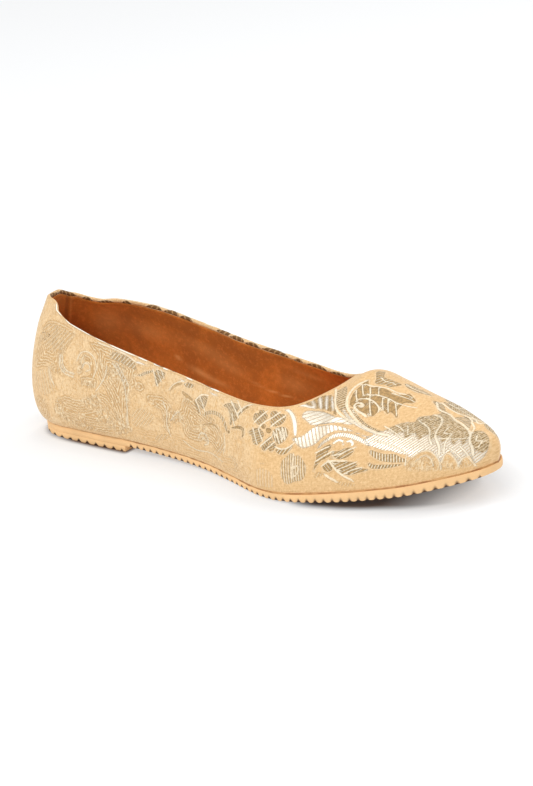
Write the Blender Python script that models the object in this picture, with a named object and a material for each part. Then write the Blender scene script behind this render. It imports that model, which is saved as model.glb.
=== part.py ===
"""Brocade ballet flat, right shoe, as four fitted pieces: upper, insole, outsole, heel lift.

Sizes are in millimetres and go to metres when an object is made.
+X runs from the heel to the toe, -Y is the outer (little toe) side, +Z is up.
The origin is on the floor under the centre of the heel seat.
"""
import bpy
import numpy as np

MM = 0.001

# ---- named sizes -----------------------------------------------------------
HEEL_BACK = 29.0        # heel centre to the back of the heel seat
TOE_TIP = 220.0         # heel centre to the tip of the outsole
TIP_SIDE = 0.8          # how far the tip lies to the inner side
HEEL_TURN = -4.0        # degrees the heel seat is turned against the long axis
HEEL_SQUARE = 2.5       # how square the back of the heel seat is (2 = ellipse)
NOSE_FROM = 200.0       # where the toe outline becomes a round nose
THROAT = 147.0          # front end of the collar opening
WALL = 2.0              # upper: outer fabric, backing and lining together
FIT = 0.3               # space left between fitted pieces
BELLY_HEIGHT = 0.27     # where the heel and quarters swell most, share of height

LIFT = 2.6              # thickness of the heel lift
BREAST = 32.0           # front face of the heel lift
TREAD_FROM, TREAD_TO = 98.0, 116.0      # part of the forefoot that lies on the floor
SPRING_RADIUS = 405.0   # curve of the sole from the tread up to the toe
INSOLE = 2.2            # thickness of the insole
INSOLE_EASE = 0.45      # insole edge to the inside of the upper

SOLE_RIB = dict(pitch=3.85, land=1.15, depth=1.15)   # saw-tooth ribs under the sole
LIFT_RIB = dict(pitch=5.50, land=2.30, depth=1.15)   # wider ribs under the heel lift

# colour, roughness and metallic value of each piece
FINISH = dict(
    upper=((0.78, 0.60, 0.40), 0.50, 0.30),
    insole=((0.36, 0.12, 0.03), 0.90, 0.0),
    outsole=((0.86, 0.60, 0.34), 0.70, 0.0),
    heel_lift=((0.86, 0.60, 0.34), 0.70, 0.0),
)

# ---- tables, one row per section ------------------------------------------
# half widths of the outsole from the long axis
OUTLINE = dict(
    columns=("x", "outer", "inner"),
    rows=(
        (0, 26.3, 26.3),
        (15, 27.0, 25.2),
        (30, 27.2, 24.1),
        (50, 27.2, 22.6),
        (70, 28.5, 21.8),
        (86, 31.3, 23.0),
        (101, 35.8, 26.8),
        (112, 40.0, 30.6),
        (121, 43.0, 33.6),
        (130, 44.6, 36.1),
        (140, 44.2, 37.9),
        (150, 42.1, 38.3),
        (161, 39.1, 37.2),
        (176, 34.4, 33.4),
        (191, 28.6, 27.4),
        (200, 22.7, 21.9),
        (203, 20.4, 19.8),
    ))

# thickness of the outsole
THICKNESS = dict(
    columns=("x", "t"),
    rows=((0, 2.9), (50, 3.1), (80, 3.0), (120, 2.9), (135, 3.2),
          (148, 3.7), (160, 4.0), (200, 4.1), (212, 3.7), (220, 3.3)))

# the upper: set-in from the sole edge, swell of each side, height and side shift
# of the crest (behind the throat it is the crest the walls would reach), and how
# full the section is at the crest and at the foot
UPPER = dict(
    columns=("x", "ledge", "outer_belly", "inner_belly", "crest", "shift", "top_full", "foot_full"),
    rows=(
        (-29, 0.3, 5.8, 5.8, 88.0, 0.0, 2.70, 2.05),
        (-22, 0.3, 6.0, 6.0, 80.0, 0.0, 2.40, 2.05),
        (-15, 0.3, 5.6, 5.6, 76.0, 0.0, 2.15, 2.05),
        (-8, 0.2, 5.2, 5.2, 75.0, 0.0, 2.20, 2.05),
        (0, 0.2, 4.7, 4.7, 78.0, 0.0, 2.20, 2.05),
        (8, 0.1, 4.4, 4.8, 82.0, 0.0, 2.20, 2.05),
        (20, 0.0, 4.0, 5.0, 90.0, 0.0, 2.20, 2.05),
        (40, 0.0, 3.0, 5.0, 100.0, 0.0, 2.20, 2.05),
        (60, 0.0, 2.6, 5.0, 100.0, 0.0, 2.20, 2.10),
        (85, 0.2, 2.2, 4.0, 85.0, 0.0, 2.10, 2.20),
        (105, 0.3, 1.6, 2.0, 62.0, 0.5, 1.90, 2.20),
        (120, 0.4, 1.4, 1.2, 50.0, 1.0, 1.60, 2.25),
        (134, 0.8, 0.7, 0.6, 44.8, 1.4, 1.60, 2.25),
        (147, 1.0, 0.6, 0.6, 45.4, 1.8, 1.65, 2.20),
        (155, 1.0, 0.6, 0.6, 48.6, 2.0, 1.62, 2.15),
        (163, 1.0, 0.6, 0.6, 47.1, 1.9, 1.55, 2.10),
        (176, 1.0, 0.4, 0.4, 42.5, 1.9, 1.65, 2.10),
        (191, 1.0, 0.3, 0.3, 38.6, 1.9, 1.75, 2.10),
        (206, 0.9, 0.2, 0.2, 34.6, 1.6, 2.15, 2.10),
        (220, 0.6, 0.0, 0.0, 34.5, 0.8, 2.10, 2.10),
    ))

# height of the collar edge on each side
COLLAR = dict(
    columns=("x", "outer", "inner"),
    rows=(
        (-28.8, 64.8, 64.8),
        (-27.5, 64.1, 62.4),
        (-25, 63.8, 60.1),
        (-21, 63.0, 57.3),
        (-16, 61.6, 56.1),
        (-10, 60.0, 56.4),
        (-4, 58.8, 56.7),
        (6, 57.0, 56.3),
        (16, 55.2, 55.0),
        (28, 53.0, 52.8),
        (41, 50.3, 50.1),
        (54, 47.7, 47.6),
        (66, 45.6, 45.4),
        (80, 43.4, 43.2),
        (91, 41.7, 41.6),
        (103, 39.7, 39.6),
        (111, 38.6, 38.5),
        (118, 37.8, 37.8),
        (124, 37.5, 37.6),
        (130, 38.1, 38.1),
        (135, 39.4, 39.3),
        (139, 40.9, 40.8),
        (142, 42.3, 42.3),
        (144.5, 43.6, 43.5),
        (146.2, 44.8, 44.7),
        (147, 45.4, 45.4),
    ))

# the front of the upper: where its height starts to fall, how full the nose is and
# how far it swells forward over the tip of the sole
NOSE = dict(start=190.0, spread=3.2, full=3.5, set_back=0.3, puff=1.5, puff_height=15.0)


# ---- reading a table -------------------------------------------------------
def along(table, name, x):
    """Smooth value of a named column at x (cubic pieces, slopes from both neighbours)."""
    rows = np.array(table["rows"], float)
    xs, ys = rows[:, 0], rows[:, table["columns"].index(name)]
    x = np.asarray(x, float)
    h, d = np.diff(xs), np.diff(ys) / np.diff(xs)
    m = np.concatenate([d[:1], (d[:-1] * h[1:] + d[1:] * h[:-1]) / (h[:-1] + h[1:]), d[-1:]])
    k = np.clip(np.searchsorted(xs, x, side="right") - 1, 0, len(xs) - 2)
    t = np.clip((x - xs[k]) / h[k], 0, 1)
    return ((2 * t**3 - 3 * t**2 + 1) * ys[k] + (t**3 - 2 * t**2 + t) * h[k] * m[k]
            + (3 * t**2 - 2 * t**3) * ys[k + 1] + (t**3 - t**2) * h[k] * m[k + 1])


# ---- the sole's plan and side view ----------------------------------------
def edge_y(side, x):
    """Signed y of the outsole edge in front of the heel centre."""
    sign = -1.0 if side == "outer" else 1.0
    x = np.asarray(x, float)
    width = along(OUTLINE, side, np.minimum(x, NOSE_FROM))
    full = along(OUTLINE, side, NOSE_FROM)
    slope = (full - along(OUTLINE, side, NOSE_FROM - 0.5)) / 0.5
    tip = TIP_SIDE * sign
    u = np.clip((x - NOSE_FROM) / (TOE_TIP - NOSE_FROM), 0, 1)
    k = np.clip(-slope * (TOE_TIP - NOSE_FROM) / (full - tip) - 0.5, -0.9, 0.9)
    nose = tip + (full - tip) * np.sqrt(1 - u) * (1 - k * u * (1 - u))
    return sign * np.where(x <= NOSE_FROM, width, nose)


def heel_fan(side, x):
    """Direction and reach of the heel seat edge; x runs from -HEEL_BACK to 0 as a cosine."""
    angle = np.arccos(np.clip(-np.asarray(x, float) / HEEL_BACK, -1, 1))
    turn = np.radians(HEEL_TURN) * (1 if side == "outer" else -1)
    own = angle + turn * (1 - (angle / (np.pi / 2))**2)
    half = abs(float(edge_y(side, 0.0)))
    reach = ((np.abs(np.cos(own)) / HEEL_BACK)**HEEL_SQUARE
             + (np.abs(np.sin(own)) / half)**HEEL_SQUARE)**(-1 / HEEL_SQUARE)
    return angle, own, reach


def sole_bottom(x):
    x = np.asarray(x, float)
    heel = (LIFT + FIT) * np.clip((TREAD_FROM - x) / (TREAD_FROM - BREAST), 0, 1)
    return heel + np.clip(x - TREAD_TO, 0, None)**2 / (2 * SPRING_RADIUS)


def sole_top(x):
    return sole_bottom(x) + along(THICKNESS, "t", x)


def foot_line(x):
    """Where the upper stands: just above the outsole."""
    return sole_top(np.maximum(x, 0)) + FIT


# ---- the upper -------------------------------------------------------------
def own_x(side, x):
    """Table position of a station; behind the heel centre it follows the turned heel."""
    return np.where(x < 0, -HEEL_BACK * np.cos(heel_fan(side, np.minimum(x, 0))[1]), x)


def crest_height(side, x):
    tip = TOE_TIP - NOSE["set_back"]
    u = np.clip((x - NOSE["start"]) / (tip - NOSE["start"]), 0, 1)
    rise = along(UPPER, "crest", own_x(side, x)) - foot_line(x)
    return rise * (1 - u**NOSE["spread"])**(1 / NOSE["full"])


def collar_share(side, x):
    """Section parameter of the collar edge; 1 in front of the throat."""
    at = own_x(side, x)
    rise = along(COLLAR, side, np.minimum(at, THROAT)) - foot_line(x)
    full = along(UPPER, "foot_full", at)
    level = np.clip(rise / (along(UPPER, "crest", at) - foot_line(x)), 0, 1)
    return np.where(x >= THROAT, 1.0, np.arcsin(level**(full / 2)) * 2 / np.pi)


def upper_point(side, x, t, inside=False):
    """Point of the upper at station x, t from 0 at the sole to 1 at the crest."""
    sign = -1.0 if side == "outer" else 1.0
    x, t = np.broadcast_arrays(np.asarray(x, float), np.asarray(t, float))
    at = own_x(side, x)
    angle, _, reach = heel_fan(side, np.minimum(x, 0))
    fan = x < 0
    shift = np.where(fan, 0, along(UPPER, "shift", at))
    tip = TOE_TIP - NOSE["set_back"]
    spot = np.where(x > NOSE_FROM, NOSE_FROM + (x - NOSE_FROM) * (TOE_TIP - NOSE_FROM) / (tip - NOSE_FROM), x)
    width = np.where(fan, reach, np.abs(edge_y(side, np.maximum(spot, 0))))
    fade = np.clip((tip - x) / 6.0, 0, 1)
    width = width - along(UPPER, "ledge", at) * fade - sign * shift
    close = np.sqrt(1 - np.clip((x - NOSE_FROM) / (tip - NOSE_FROM), 0, 1)**8)
    rise = crest_height(side, x)
    top, foot = along(UPPER, "top_full", at), along(UPPER, "foot_full", at)
    level = np.sin(np.pi * t / 2)**(2 / foot)
    out = np.cos(np.pi * t / 2)**(2 / top)
    swell = np.sin(np.pi * np.clip(level, 0, 1)**(np.log(0.5) / np.log(BELLY_HEIGHT)))
    reach_out = (width * out + along(UPPER, side + "_belly", at) * swell) * close
    height = rise * level
    back = np.zeros_like(x)
    if inside:
        reach_out = reach_out * width / (width + WALL)
        height = height * rise / (rise + WALL)
        back = WALL * np.clip((x - 180) / (tip - 180), 0, 1)
    nose = np.clip((x - NOSE_FROM) / (tip - NOSE_FROM), 0, 1)**2
    back = back - NOSE["puff"] * nose * np.sin(np.pi * np.clip(height / NOSE["puff_height"], 0, 1))
    px = np.where(fan, -reach_out * np.cos(angle), x - back)
    py = np.where(fan, sign * reach_out * np.sin(angle), shift + sign * reach_out)
    return np.stack([px, py, foot_line(x) + height], -1)


# ---- meshes ----------------------------------------------------------------
def weld(points, faces):
    """Join points that coincide and drop the faces that vanish."""
    keys = np.round(points * 1e4).astype(np.int64)
    _, first, new = np.unique(keys, axis=0, return_index=True, return_inverse=True)
    new = new.reshape(-1)
    out = []
    for face in faces:
        ring = [int(new[i]) for i in face]
        ring = [v for i, v in enumerate(ring) if v != ring[i - 1]]
        if len(ring) > 2:
            out.append(ring)
    return points[first], out


def make_material(name, color, roughness, metallic):
    material = bpy.data.materials.new(name)
    material.use_nodes = True
    shader = material.node_tree.nodes["Principled BSDF"]
    shader.inputs["Base Color"].default_value = (*color, 1.0)
    shader.inputs["Roughness"].default_value = roughness
    shader.inputs["Metallic"].default_value = metallic
    return material


def make_object(name, points, faces):
    """A mesh object in the shoe's collection, with the finish named for it."""
    mesh = bpy.data.meshes.new(name)
    mesh.from_pydata((points * MM).tolist(), [], faces)
    mesh.validate()
    mesh.update()
    mesh.shade_smooth()
    mesh.set_sharp_from_angle(angle=np.radians(35))
    mesh.materials.append(make_material(name + "_finish", *FINISH[name]))
    obj = bpy.data.objects.new(name, mesh)
    bpy.data.collections["brocade_ballet_flat"].objects.link(obj)
    return obj


def quads(a, b, flip=False):
    """Faces between two index rows."""
    out = [[a[i], a[i + 1], b[i + 1], b[i]] for i in range(len(a) - 1)]
    return [q[::-1] for q in out] if flip else out


def make_upper(rows=8):
    fan = -HEEL_BACK * np.cos(np.radians(np.linspace(0, 90, 12)))[:-1]
    quarter = np.linspace(0, 112, 17)[:-1]
    turn = 112 + (THROAT - 112) * np.sin(np.linspace(0, 1, 9) * np.pi / 2)
    tip = TOE_TIP - NOSE["set_back"]
    vamp = THROAT + (tip - THROAT) * np.sin(np.linspace(0, 1, 19)[1:] * np.pi / 2)
    stations = np.concatenate([fan, quarter, turn, vamp])
    stations[np.abs(stations) < 1e-9] = 0.0
    throat = int(np.argmin(np.abs(stations - THROAT)))
    stations[throat] = THROAT
    share = np.linspace(0, 1, rows + 1)
    grids, points, count = {}, [], 0
    for side in ("outer", "inner"):
        top = collar_share(side, stations)
        for inside in (False, True):
            grid = upper_point(side, stations[None, :], share[:, None] * top[None, :], inside)
            points.append(grid.reshape(-1, 3))
            grids[side, inside] = np.arange(count, count + grid.shape[0] * grid.shape[1]).reshape(grid.shape[:2])
            count += grid.shape[0] * grid.shape[1]
    faces = []
    for side in ("outer", "inner"):
        flip = side == "inner"
        skin, lining = grids[side, False], grids[side, True]
        for r in range(rows):
            faces += quads(skin[r], skin[r + 1], flip)
            faces += quads(lining[r], lining[r + 1], not flip)
        faces += quads(skin[rows][:throat + 1], lining[rows][:throat + 1], flip)
        faces += quads(skin[0], lining[0], not flip)
    return make_object("upper", *weld(np.concatenate(points), faces))


def plan_edges():
    """The outsole edge as two runs of points from heel to toe, for reading y at any x."""
    runs = {}
    front = np.concatenate([np.linspace(0, NOSE_FROM, 201)[1:],
                            NOSE_FROM + (TOE_TIP - NOSE_FROM) * np.sin(np.linspace(0, 1, 60)[1:] * np.pi / 2)])
    for side in ("outer", "inner"):
        sign = -1.0 if side == "outer" else 1.0
        fan = -HEEL_BACK * np.cos(np.radians(np.linspace(0, 90, 60)))
        angle, _, reach = heel_fan(side, fan)
        xs = np.concatenate([-reach * np.cos(angle), front])
        ys = np.concatenate([sign * reach * np.sin(angle), edge_y(side, front)])
        runs[side] = (np.maximum.accumulate(xs + np.arange(len(xs)) * 1e-9), ys)
    return runs


def rib_stations(start, stop, rib, land_at):
    """x and groove depth of a ribbed run; one flat land is centred on land_at."""
    xs, depth = [start], [0.0]
    first = int(np.ceil((start + 0.4 - land_at - rib["land"] / 2) / rib["pitch"]))
    last = int(np.floor((stop - 0.4 - land_at + rib["land"] / 2) / rib["pitch"]))
    for k in range(first, last):
        a = land_at + k * rib["pitch"] + rib["land"] / 2
        b = land_at + (k + 1) * rib["pitch"] - rib["land"] / 2
        xs += [a, (a + b) / 2, b]
        depth += [0.0, rib["depth"], 0.0]
    return np.array(xs + [stop]), np.array(depth + [0.0])


def make_slab(name, xs, low, high, inset=0.0):
    """A plate between two side-view curves, cut to the outsole's plan."""
    runs = plan_edges()
    left = np.interp(xs, *runs["outer"]) + inset
    right = np.interp(xs, *runs["inner"]) - inset
    mid = (left + right) / 2
    points, n = [], len(xs)
    for y, z in ((left, low), (mid, low), (right, low), (right, high), (mid, high), (left, high)):
        points.append(np.stack([xs, y, z], -1))
    ring = [np.arange(n) + n * i for i in range(6)]
    faces = []
    for i in range(6):
        faces += quads(ring[i], ring[(i + 1) % 6], flip=True)
    faces += [[int(r[0]) for r in ring][::-1], [int(r[-1]) for r in ring]]
    return make_object(name, *weld(np.concatenate(points), faces))


def heel_stations(count, back):
    return back * np.cos(np.linspace(0, np.pi / 2, count))[:-1]


def make_outsole():
    back = float(max(plan_edges()["outer"][0][0], plan_edges()["inner"][0][0]))
    heel = heel_stations(12, back)
    under, depth = rib_stations(BREAST + 0.8, TOE_TIP - 4.0, SOLE_RIB, (TREAD_FROM + TREAD_TO) / 2)
    front = np.array([TOE_TIP - 2.4, TOE_TIP - 1.2, TOE_TIP - 0.5, TOE_TIP - 0.12])
    flat = np.array([0.0, 10.0, 20.0, BREAST])
    xs = np.concatenate([heel, flat, under, front])
    cut = np.concatenate([np.zeros(len(heel) + len(flat)), depth, np.zeros(len(front))])
    return make_slab("outsole", xs, sole_bottom(xs) + cut, sole_top(xs))


def make_heel_lift():
    back = float(max(plan_edges()["outer"][0][0], plan_edges()["inner"][0][0]))
    ribs, depth = rib_stations(-22.5, BREAST, LIFT_RIB, 0.0)
    heel = back * np.cos(np.radians([0, 11, 20, 28, 34]))
    xs = np.concatenate([heel, ribs])
    cut = np.concatenate([np.zeros(len(heel)), depth])
    return make_slab("heel_lift", xs, cut, np.full(len(xs), LIFT))


def make_insole():
    """Follows the inside of the upper's foot line."""
    fan = -HEEL_BACK * np.cos(np.radians(np.linspace(0, 90, 10)))[:-1]
    run = np.concatenate([np.linspace(0, 195, 27), [200, 204, 207.5, 210.5, 213]])
    stations = np.concatenate([fan, run])
    points, n = [], len(stations)
    edge = {}
    for side in ("outer", "inner"):
        sign = -1.0 if side == "outer" else 1.0
        base = upper_point(side, stations, np.zeros(n), inside=True)
        angle = np.where(stations < 0, heel_fan(side, np.minimum(stations, 0))[0], np.pi / 2)
        base[:, 0] += INSOLE_EASE * np.cos(angle)
        base[:, 1] -= sign * INSOLE_EASE * np.sin(angle)
        edge[side] = base
    low = foot_line(stations)
    mid = (edge["outer"] + edge["inner"]) / 2
    loops = []
    for part, z in ((edge["outer"], low), (mid, low), (edge["inner"], low),
                    (edge["inner"], low + INSOLE), (mid, low + INSOLE), (edge["outer"], low + INSOLE)):
        p = part.copy()
        p[:, 2] = z
        points.append(p)
    ring = [np.arange(n) + n * i for i in range(6)]
    faces = []
    for i in range(6):
        faces += quads(ring[i], ring[(i + 1) % 6], flip=True)
    faces += [[int(r[0]) for r in ring][::-1], [int(r[-1]) for r in ring]]
    return make_object("insole", *weld(np.concatenate(points), faces))


for stray in list(bpy.data.objects):
    bpy.data.objects.remove(stray, do_unlink=True)
shoe = bpy.data.collections.new("brocade_ballet_flat")
bpy.context.scene.collection.children.link(shoe)

make_upper()
make_insole()
make_outsole()
make_heel_lift()
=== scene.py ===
"""Brocade ballet flat, right shoe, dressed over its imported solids.

Sizes in tables and constants are in millimetres and go to metres when a mesh is made.
+X runs from the heel to the toe, -Y is the outer (little toe) side, +Z is up.
Every piece is a grid of points worked out from two parameters. On the upper they are the
station w along the side (0 at the heel centre, negative round the back of the heel) and
the arc q up the side from the sole.
"""

import bpy
import numpy as np
from bpy.props import FloatProperty, FloatVectorProperty, PointerProperty
from mathutils import Matrix, Vector


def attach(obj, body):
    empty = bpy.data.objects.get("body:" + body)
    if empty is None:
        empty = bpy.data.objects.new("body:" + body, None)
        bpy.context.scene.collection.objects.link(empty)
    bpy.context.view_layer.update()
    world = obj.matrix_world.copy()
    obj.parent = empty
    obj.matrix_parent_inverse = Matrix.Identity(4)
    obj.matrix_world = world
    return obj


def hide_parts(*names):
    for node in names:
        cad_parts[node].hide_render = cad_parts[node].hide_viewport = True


bl_info = {
    "name": "Brocade ballet flat",
    "version": (1, 0, 0),
    "blender": (4, 5, 0),
    "location": "3D View > Sidebar > Flat",
    "description": "Builds a brocade ballet flat piece by piece, with its cloth, suede and crepe finishes",
    "category": "Object",
}

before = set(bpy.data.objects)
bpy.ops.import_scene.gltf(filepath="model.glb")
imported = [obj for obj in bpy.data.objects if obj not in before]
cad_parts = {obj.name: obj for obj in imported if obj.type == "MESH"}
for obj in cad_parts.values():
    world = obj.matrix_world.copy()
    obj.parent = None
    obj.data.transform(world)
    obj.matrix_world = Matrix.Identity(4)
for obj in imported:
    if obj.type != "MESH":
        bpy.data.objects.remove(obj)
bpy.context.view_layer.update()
MM = 0.001
WELD = 2e4              # steps in a millimetre to which points are rounded to find doubles

# ---- named sizes -----------------------------------------------------------
SIDES = {"outer": -1.0, "inner": 1.0}       # the sign of y on each side
HEEL_BACK = 29.0        # heel centre to the back of the heel seat
HEEL_ARC = HEEL_BACK * np.pi / 2            # stations round the back of the heel
TOE_TIP = 220.0         # heel centre to the tip of the outsole
TIP_SIDE = 0.8          # how far the tip lies to the inner side
HEEL_TURN = -4.0        # degrees the heel seat is turned against the long axis
HEEL_SQUARE = 2.5       # how square the back of the heel seat is (2 = ellipse)
NOSE_FROM = 200.0       # where the toe outline becomes a round nose
THROAT = 147.0          # front end of the collar opening
WALL = 2.0              # cloth, backing and lining together
BACKING = 1.1           # cloth and backing
LINING = 0.75           # thickness of the lining
FIT = 0.3               # space between fitted pieces
BELLY_HEIGHT = 0.27     # where the heel and quarters swell most, share of height
LIFT = 2.6              # thickness of the heel lift
LIFT_TOP = LIFT + 0.2   # its visible top, which nearly closes the fitted gap
BREAST = 32.0           # front face of the heel lift
TREAD_FROM, TREAD_TO = 98.0, 116.0      # part of the forefoot that lies on the floor
SPRING_RADIUS = 405.0   # curve of the sole from the tread up to the toe
INSOLE = 2.2            # thickness of the insole
# ribs of the rubber: pitch, flat land, depth of the grooves, the place of one land, and where
# the grooves start and stop; the sole's get shallower over a stretch before the toe
SOLE_RIB = dict(pitch=3.85, land=0.95, depth=1.2, toe_depth=0.7, shallow=(140, 175), at=107.0,
                start=BREAST + 0.8, stop=TOE_TIP - 3.0)
LIFT_RIB = dict(pitch=5.50, land=2.10, depth=1.2, at=0.0, start=-22.5, stop=BREAST - 1.5)

# half widths of the outsole from the long axis
OUTLINE = dict(
    columns=("x", "outer", "inner"),
    rows=(
        (0, 26.3, 26.3), (15, 27.0, 25.2), (30, 27.2, 24.1), (50, 27.2, 22.6),
        (70, 28.5, 21.8), (86, 31.3, 23.0), (101, 35.8, 26.8), (112, 40.0, 30.6),
        (121, 43.0, 33.6), (130, 44.6, 36.1), (140, 44.2, 37.9), (150, 42.1, 38.3),
        (161, 39.1, 37.2), (176, 34.4, 33.4), (191, 28.6, 27.4), (200, 22.7, 21.9),
        (203, 20.4, 19.8),
    ))

# thickness of the outsole
THICKNESS = dict(
    columns=("x", "t"),
    rows=((0, 2.9), (50, 3.1), (80, 3.0), (120, 2.9), (135, 3.2),
          (148, 3.7), (160, 4.0), (200, 4.1), (212, 3.7), (220, 3.3)))

# the upper: set-in from the sole edge, swell of each side, height and side shift of the
# crest, and how full the section is at the crest and at the foot
UPPER = dict(
    columns=("x", "ledge", "outer_belly", "inner_belly", "crest", "shift", "top_full", "foot_full"),
    rows=(
        (-29, 0.3, 5.8, 5.8, 88.0, 0.0, 2.70, 2.05),
        (-22, 0.3, 6.0, 6.0, 80.0, 0.0, 2.40, 2.05),
        (-15, 0.3, 5.6, 5.6, 76.0, 0.0, 2.15, 2.05),
        (-8, 0.2, 5.2, 5.2, 75.0, 0.0, 2.20, 2.05),
        (0, 0.2, 4.7, 4.7, 78.0, 0.0, 2.20, 2.05),
        (8, 0.1, 4.4, 4.8, 82.0, 0.0, 2.20, 2.05),
        (20, 0.0, 4.0, 5.0, 90.0, 0.0, 2.20, 2.05),
        (40, 0.0, 3.0, 5.0, 100.0, 0.0, 2.20, 2.05),
        (60, 0.0, 2.6, 5.0, 100.0, 0.0, 2.20, 2.10),
        (85, 0.2, 2.2, 4.0, 85.0, 0.0, 2.10, 2.20),
        (105, 0.3, 1.6, 2.0, 62.0, 0.5, 1.90, 2.20),
        (120, 0.4, 1.4, 1.2, 50.0, 1.0, 1.60, 2.25),
        (134, 0.8, 0.7, 0.6, 44.8, 1.4, 1.60, 2.25),
        (147, 1.0, 0.6, 0.6, 45.4, 1.8, 1.65, 2.20),
        (155, 1.0, 0.6, 0.6, 48.6, 2.0, 1.62, 2.15),
        (163, 1.0, 0.6, 0.6, 47.1, 1.9, 1.55, 2.10),
        (176, 1.0, 0.4, 0.4, 42.5, 1.9, 1.65, 2.10),
        (191, 1.0, 0.3, 0.3, 38.6, 1.9, 1.75, 2.10),
        (206, 0.9, 0.2, 0.2, 34.6, 1.6, 2.15, 2.10),
        (220, 0.6, 0.0, 0.0, 34.5, 0.8, 2.10, 2.10),
    ))

# height of the collar edge on each side
COLLAR = dict(
    columns=("x", "outer", "inner"),
    rows=(
        (-28.8, 64.8, 64.8), (-27.5, 65.4, 62.4), (-25, 65.6, 60.1), (-21, 64.4, 57.3),
        (-16, 62.0, 56.1), (-10, 60.0, 56.4), (-4, 58.8, 56.7), (6, 57.0, 56.3),
        (16, 55.2, 55.0), (28, 53.0, 52.8), (41, 50.3, 50.1), (54, 47.7, 47.6),
        (66, 45.6, 45.4), (80, 43.4, 43.2), (91, 41.7, 41.6), (103, 39.7, 39.6),
        (111, 38.6, 38.5), (118, 37.8, 37.8), (124, 37.5, 37.6), (130, 38.1, 38.1),
        (135, 39.4, 39.3), (139, 40.9, 40.8), (142, 42.3, 42.3), (144.5, 43.6, 43.5),
        (146.2, 44.8, 44.7), (147, 45.4, 45.4),
    ))

# the round toe: where the crest starts to fall, its two powers, how far the cloth stands back
# from the sole's tip, how far it puffs out and how high, and where the inside draws back
NOSE = dict(start=190.0, spread=3.2, full=3.5, set_back=0.3, puff=1.5, puff_height=15.0, draw_back=180.0)
CLOTH_TIP = TOE_TIP - NOSE["set_back"]
# the collar's outer back corner leans in: how far, between which heights, and from which x
# over what length
CORNER = dict(lean=2.4, low=46.0, high=60.0, back=-28.9, long=13.0)
# the collar's rolled edge: its height and girth, and how far it is set below the collar line
ROLL = dict(height=0.9, steps=8, girth=3.0, lower=0.8, fade_from=128.0)
# the cloth turned in below the roll: depth along the collar and at the throat, how far it lies
# behind the lining's face, how far the lining laps over it, and its place on the cloth's map
FACING = dict(depth=1.0, throat=0.8, taper_from=128.0, recess=0.12, lap=0.5, on_map=70.0)
HEM = 1.3               # plain ground along the collar
HAZE = dict(share=0.36, fade=(110, 126))    # faint scribble over the heel and quarters
SIDE_UP = 46.0          # length up a side that has a row of points at each step of the grid
THROAT_BEND = 12.0      # length behind the throat where the collar bends
QUARTER_FROM = 40.0     # behind it the upper is plain enough for wider stations


# ---- reading a table -------------------------------------------------------
def along(table, name, x):
    """Smooth value of a named column at x: cubic pieces with slopes from both neighbours."""
    rows = np.array(table["rows"], float)
    xs, ys = rows[:, 0], rows[:, table["columns"].index(name)]
    x = np.asarray(x, float)
    h, d = np.diff(xs), np.diff(ys) / np.diff(xs)
    m = np.concatenate([d[:1], (d[:-1] * h[1:] + d[1:] * h[:-1]) / (h[:-1] + h[1:]), d[-1:]])
    k = np.clip(np.searchsorted(xs, x, side="right") - 1, 0, len(xs) - 2)
    t = np.clip((x - xs[k]) / h[k], 0, 1)
    return ((2 * t**3 - 3 * t**2 + 1) * ys[k] + (t**3 - 2 * t**2 + t) * h[k] * m[k]
            + (3 * t**2 - 2 * t**3) * ys[k + 1] + (t**3 - t**2) * h[k] * m[k + 1])


def ramp(x, a, b):
    """0 before a, 1 after b, eased at both ends."""
    t = np.clip((np.asarray(x, float) - a) / (b - a), 0, 1)
    return t * t * (3 - 2 * t)


def slowing(n):
    """n shares from 0 to 1 that close up towards 1: the sine of a quarter turn."""
    return np.sin(np.linspace(0, 1, n) * np.pi / 2)


def unit(v):
    """Vectors of length 1."""
    return v / np.maximum(np.linalg.norm(v, axis=-1, keepdims=True), 1e-12)


def closed(grid, axis=1):
    """The grid with its first row or column again at the end."""
    return np.concatenate([grid, grid.take([0], axis)], axis)


def spot(x, y, long, wide, turn):
    """A round or long blot with soft edges: e to the minus squared distance over its size."""
    c, s = np.cos(turn), np.sin(turn)
    return np.exp(-((x * c + y * s) / long)**2 - ((y * c - x * s) / wide)**2)


# ---- the form: sole plan, sole side view and the upper's walls ----------------
def edge_y(side, x):
    """Signed y of the outsole edge: the table's half width, then a round nose."""
    sign = SIDES[side]
    x = np.asarray(x, float)
    width = along(OUTLINE, side, np.minimum(x, NOSE_FROM))
    full = along(OUTLINE, side, NOSE_FROM)
    slope = (full - along(OUTLINE, side, NOSE_FROM - 0.5)) / 0.5
    tip = TIP_SIDE * sign
    u = np.clip((x - NOSE_FROM) / (TOE_TIP - NOSE_FROM), 0, 1)
    k = np.clip(-slope * (TOE_TIP - NOSE_FROM) / (full - tip) - 0.5, -0.9, 0.9)
    nose = tip + (full - tip) * np.sqrt(1 - u) * (1 - k * u * (1 - u))
    return sign * np.where(x <= NOSE_FROM, width, nose)


def heel_fan(side, x):
    """Direction and reach of the heel seat edge: a squarish ellipse, slightly turned."""
    angle = np.arccos(np.clip(-np.asarray(x, float) / HEEL_BACK, -1, 1))
    turn = np.radians(HEEL_TURN) * -SIDES[side]
    own = angle + turn * (1 - (angle / (np.pi / 2))**2)
    half = abs(float(edge_y(side, 0.0)))
    reach = ((np.abs(np.cos(own)) / HEEL_BACK)**HEEL_SQUARE
             + (np.abs(np.sin(own)) / half)**HEEL_SQUARE)**(-1 / HEEL_SQUARE)
    return angle, own, reach


def sole_bottom(x):
    """Height of the tread side: down from the heel lift, flat, then the toe spring's arc."""
    x = np.asarray(x, float)
    heel = (LIFT + FIT) * np.clip((TREAD_FROM - x) / (TREAD_FROM - BREAST), 0, 1)
    return heel + np.clip(x - TREAD_TO, 0, None)**2 / (2 * SPRING_RADIUS)


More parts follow.
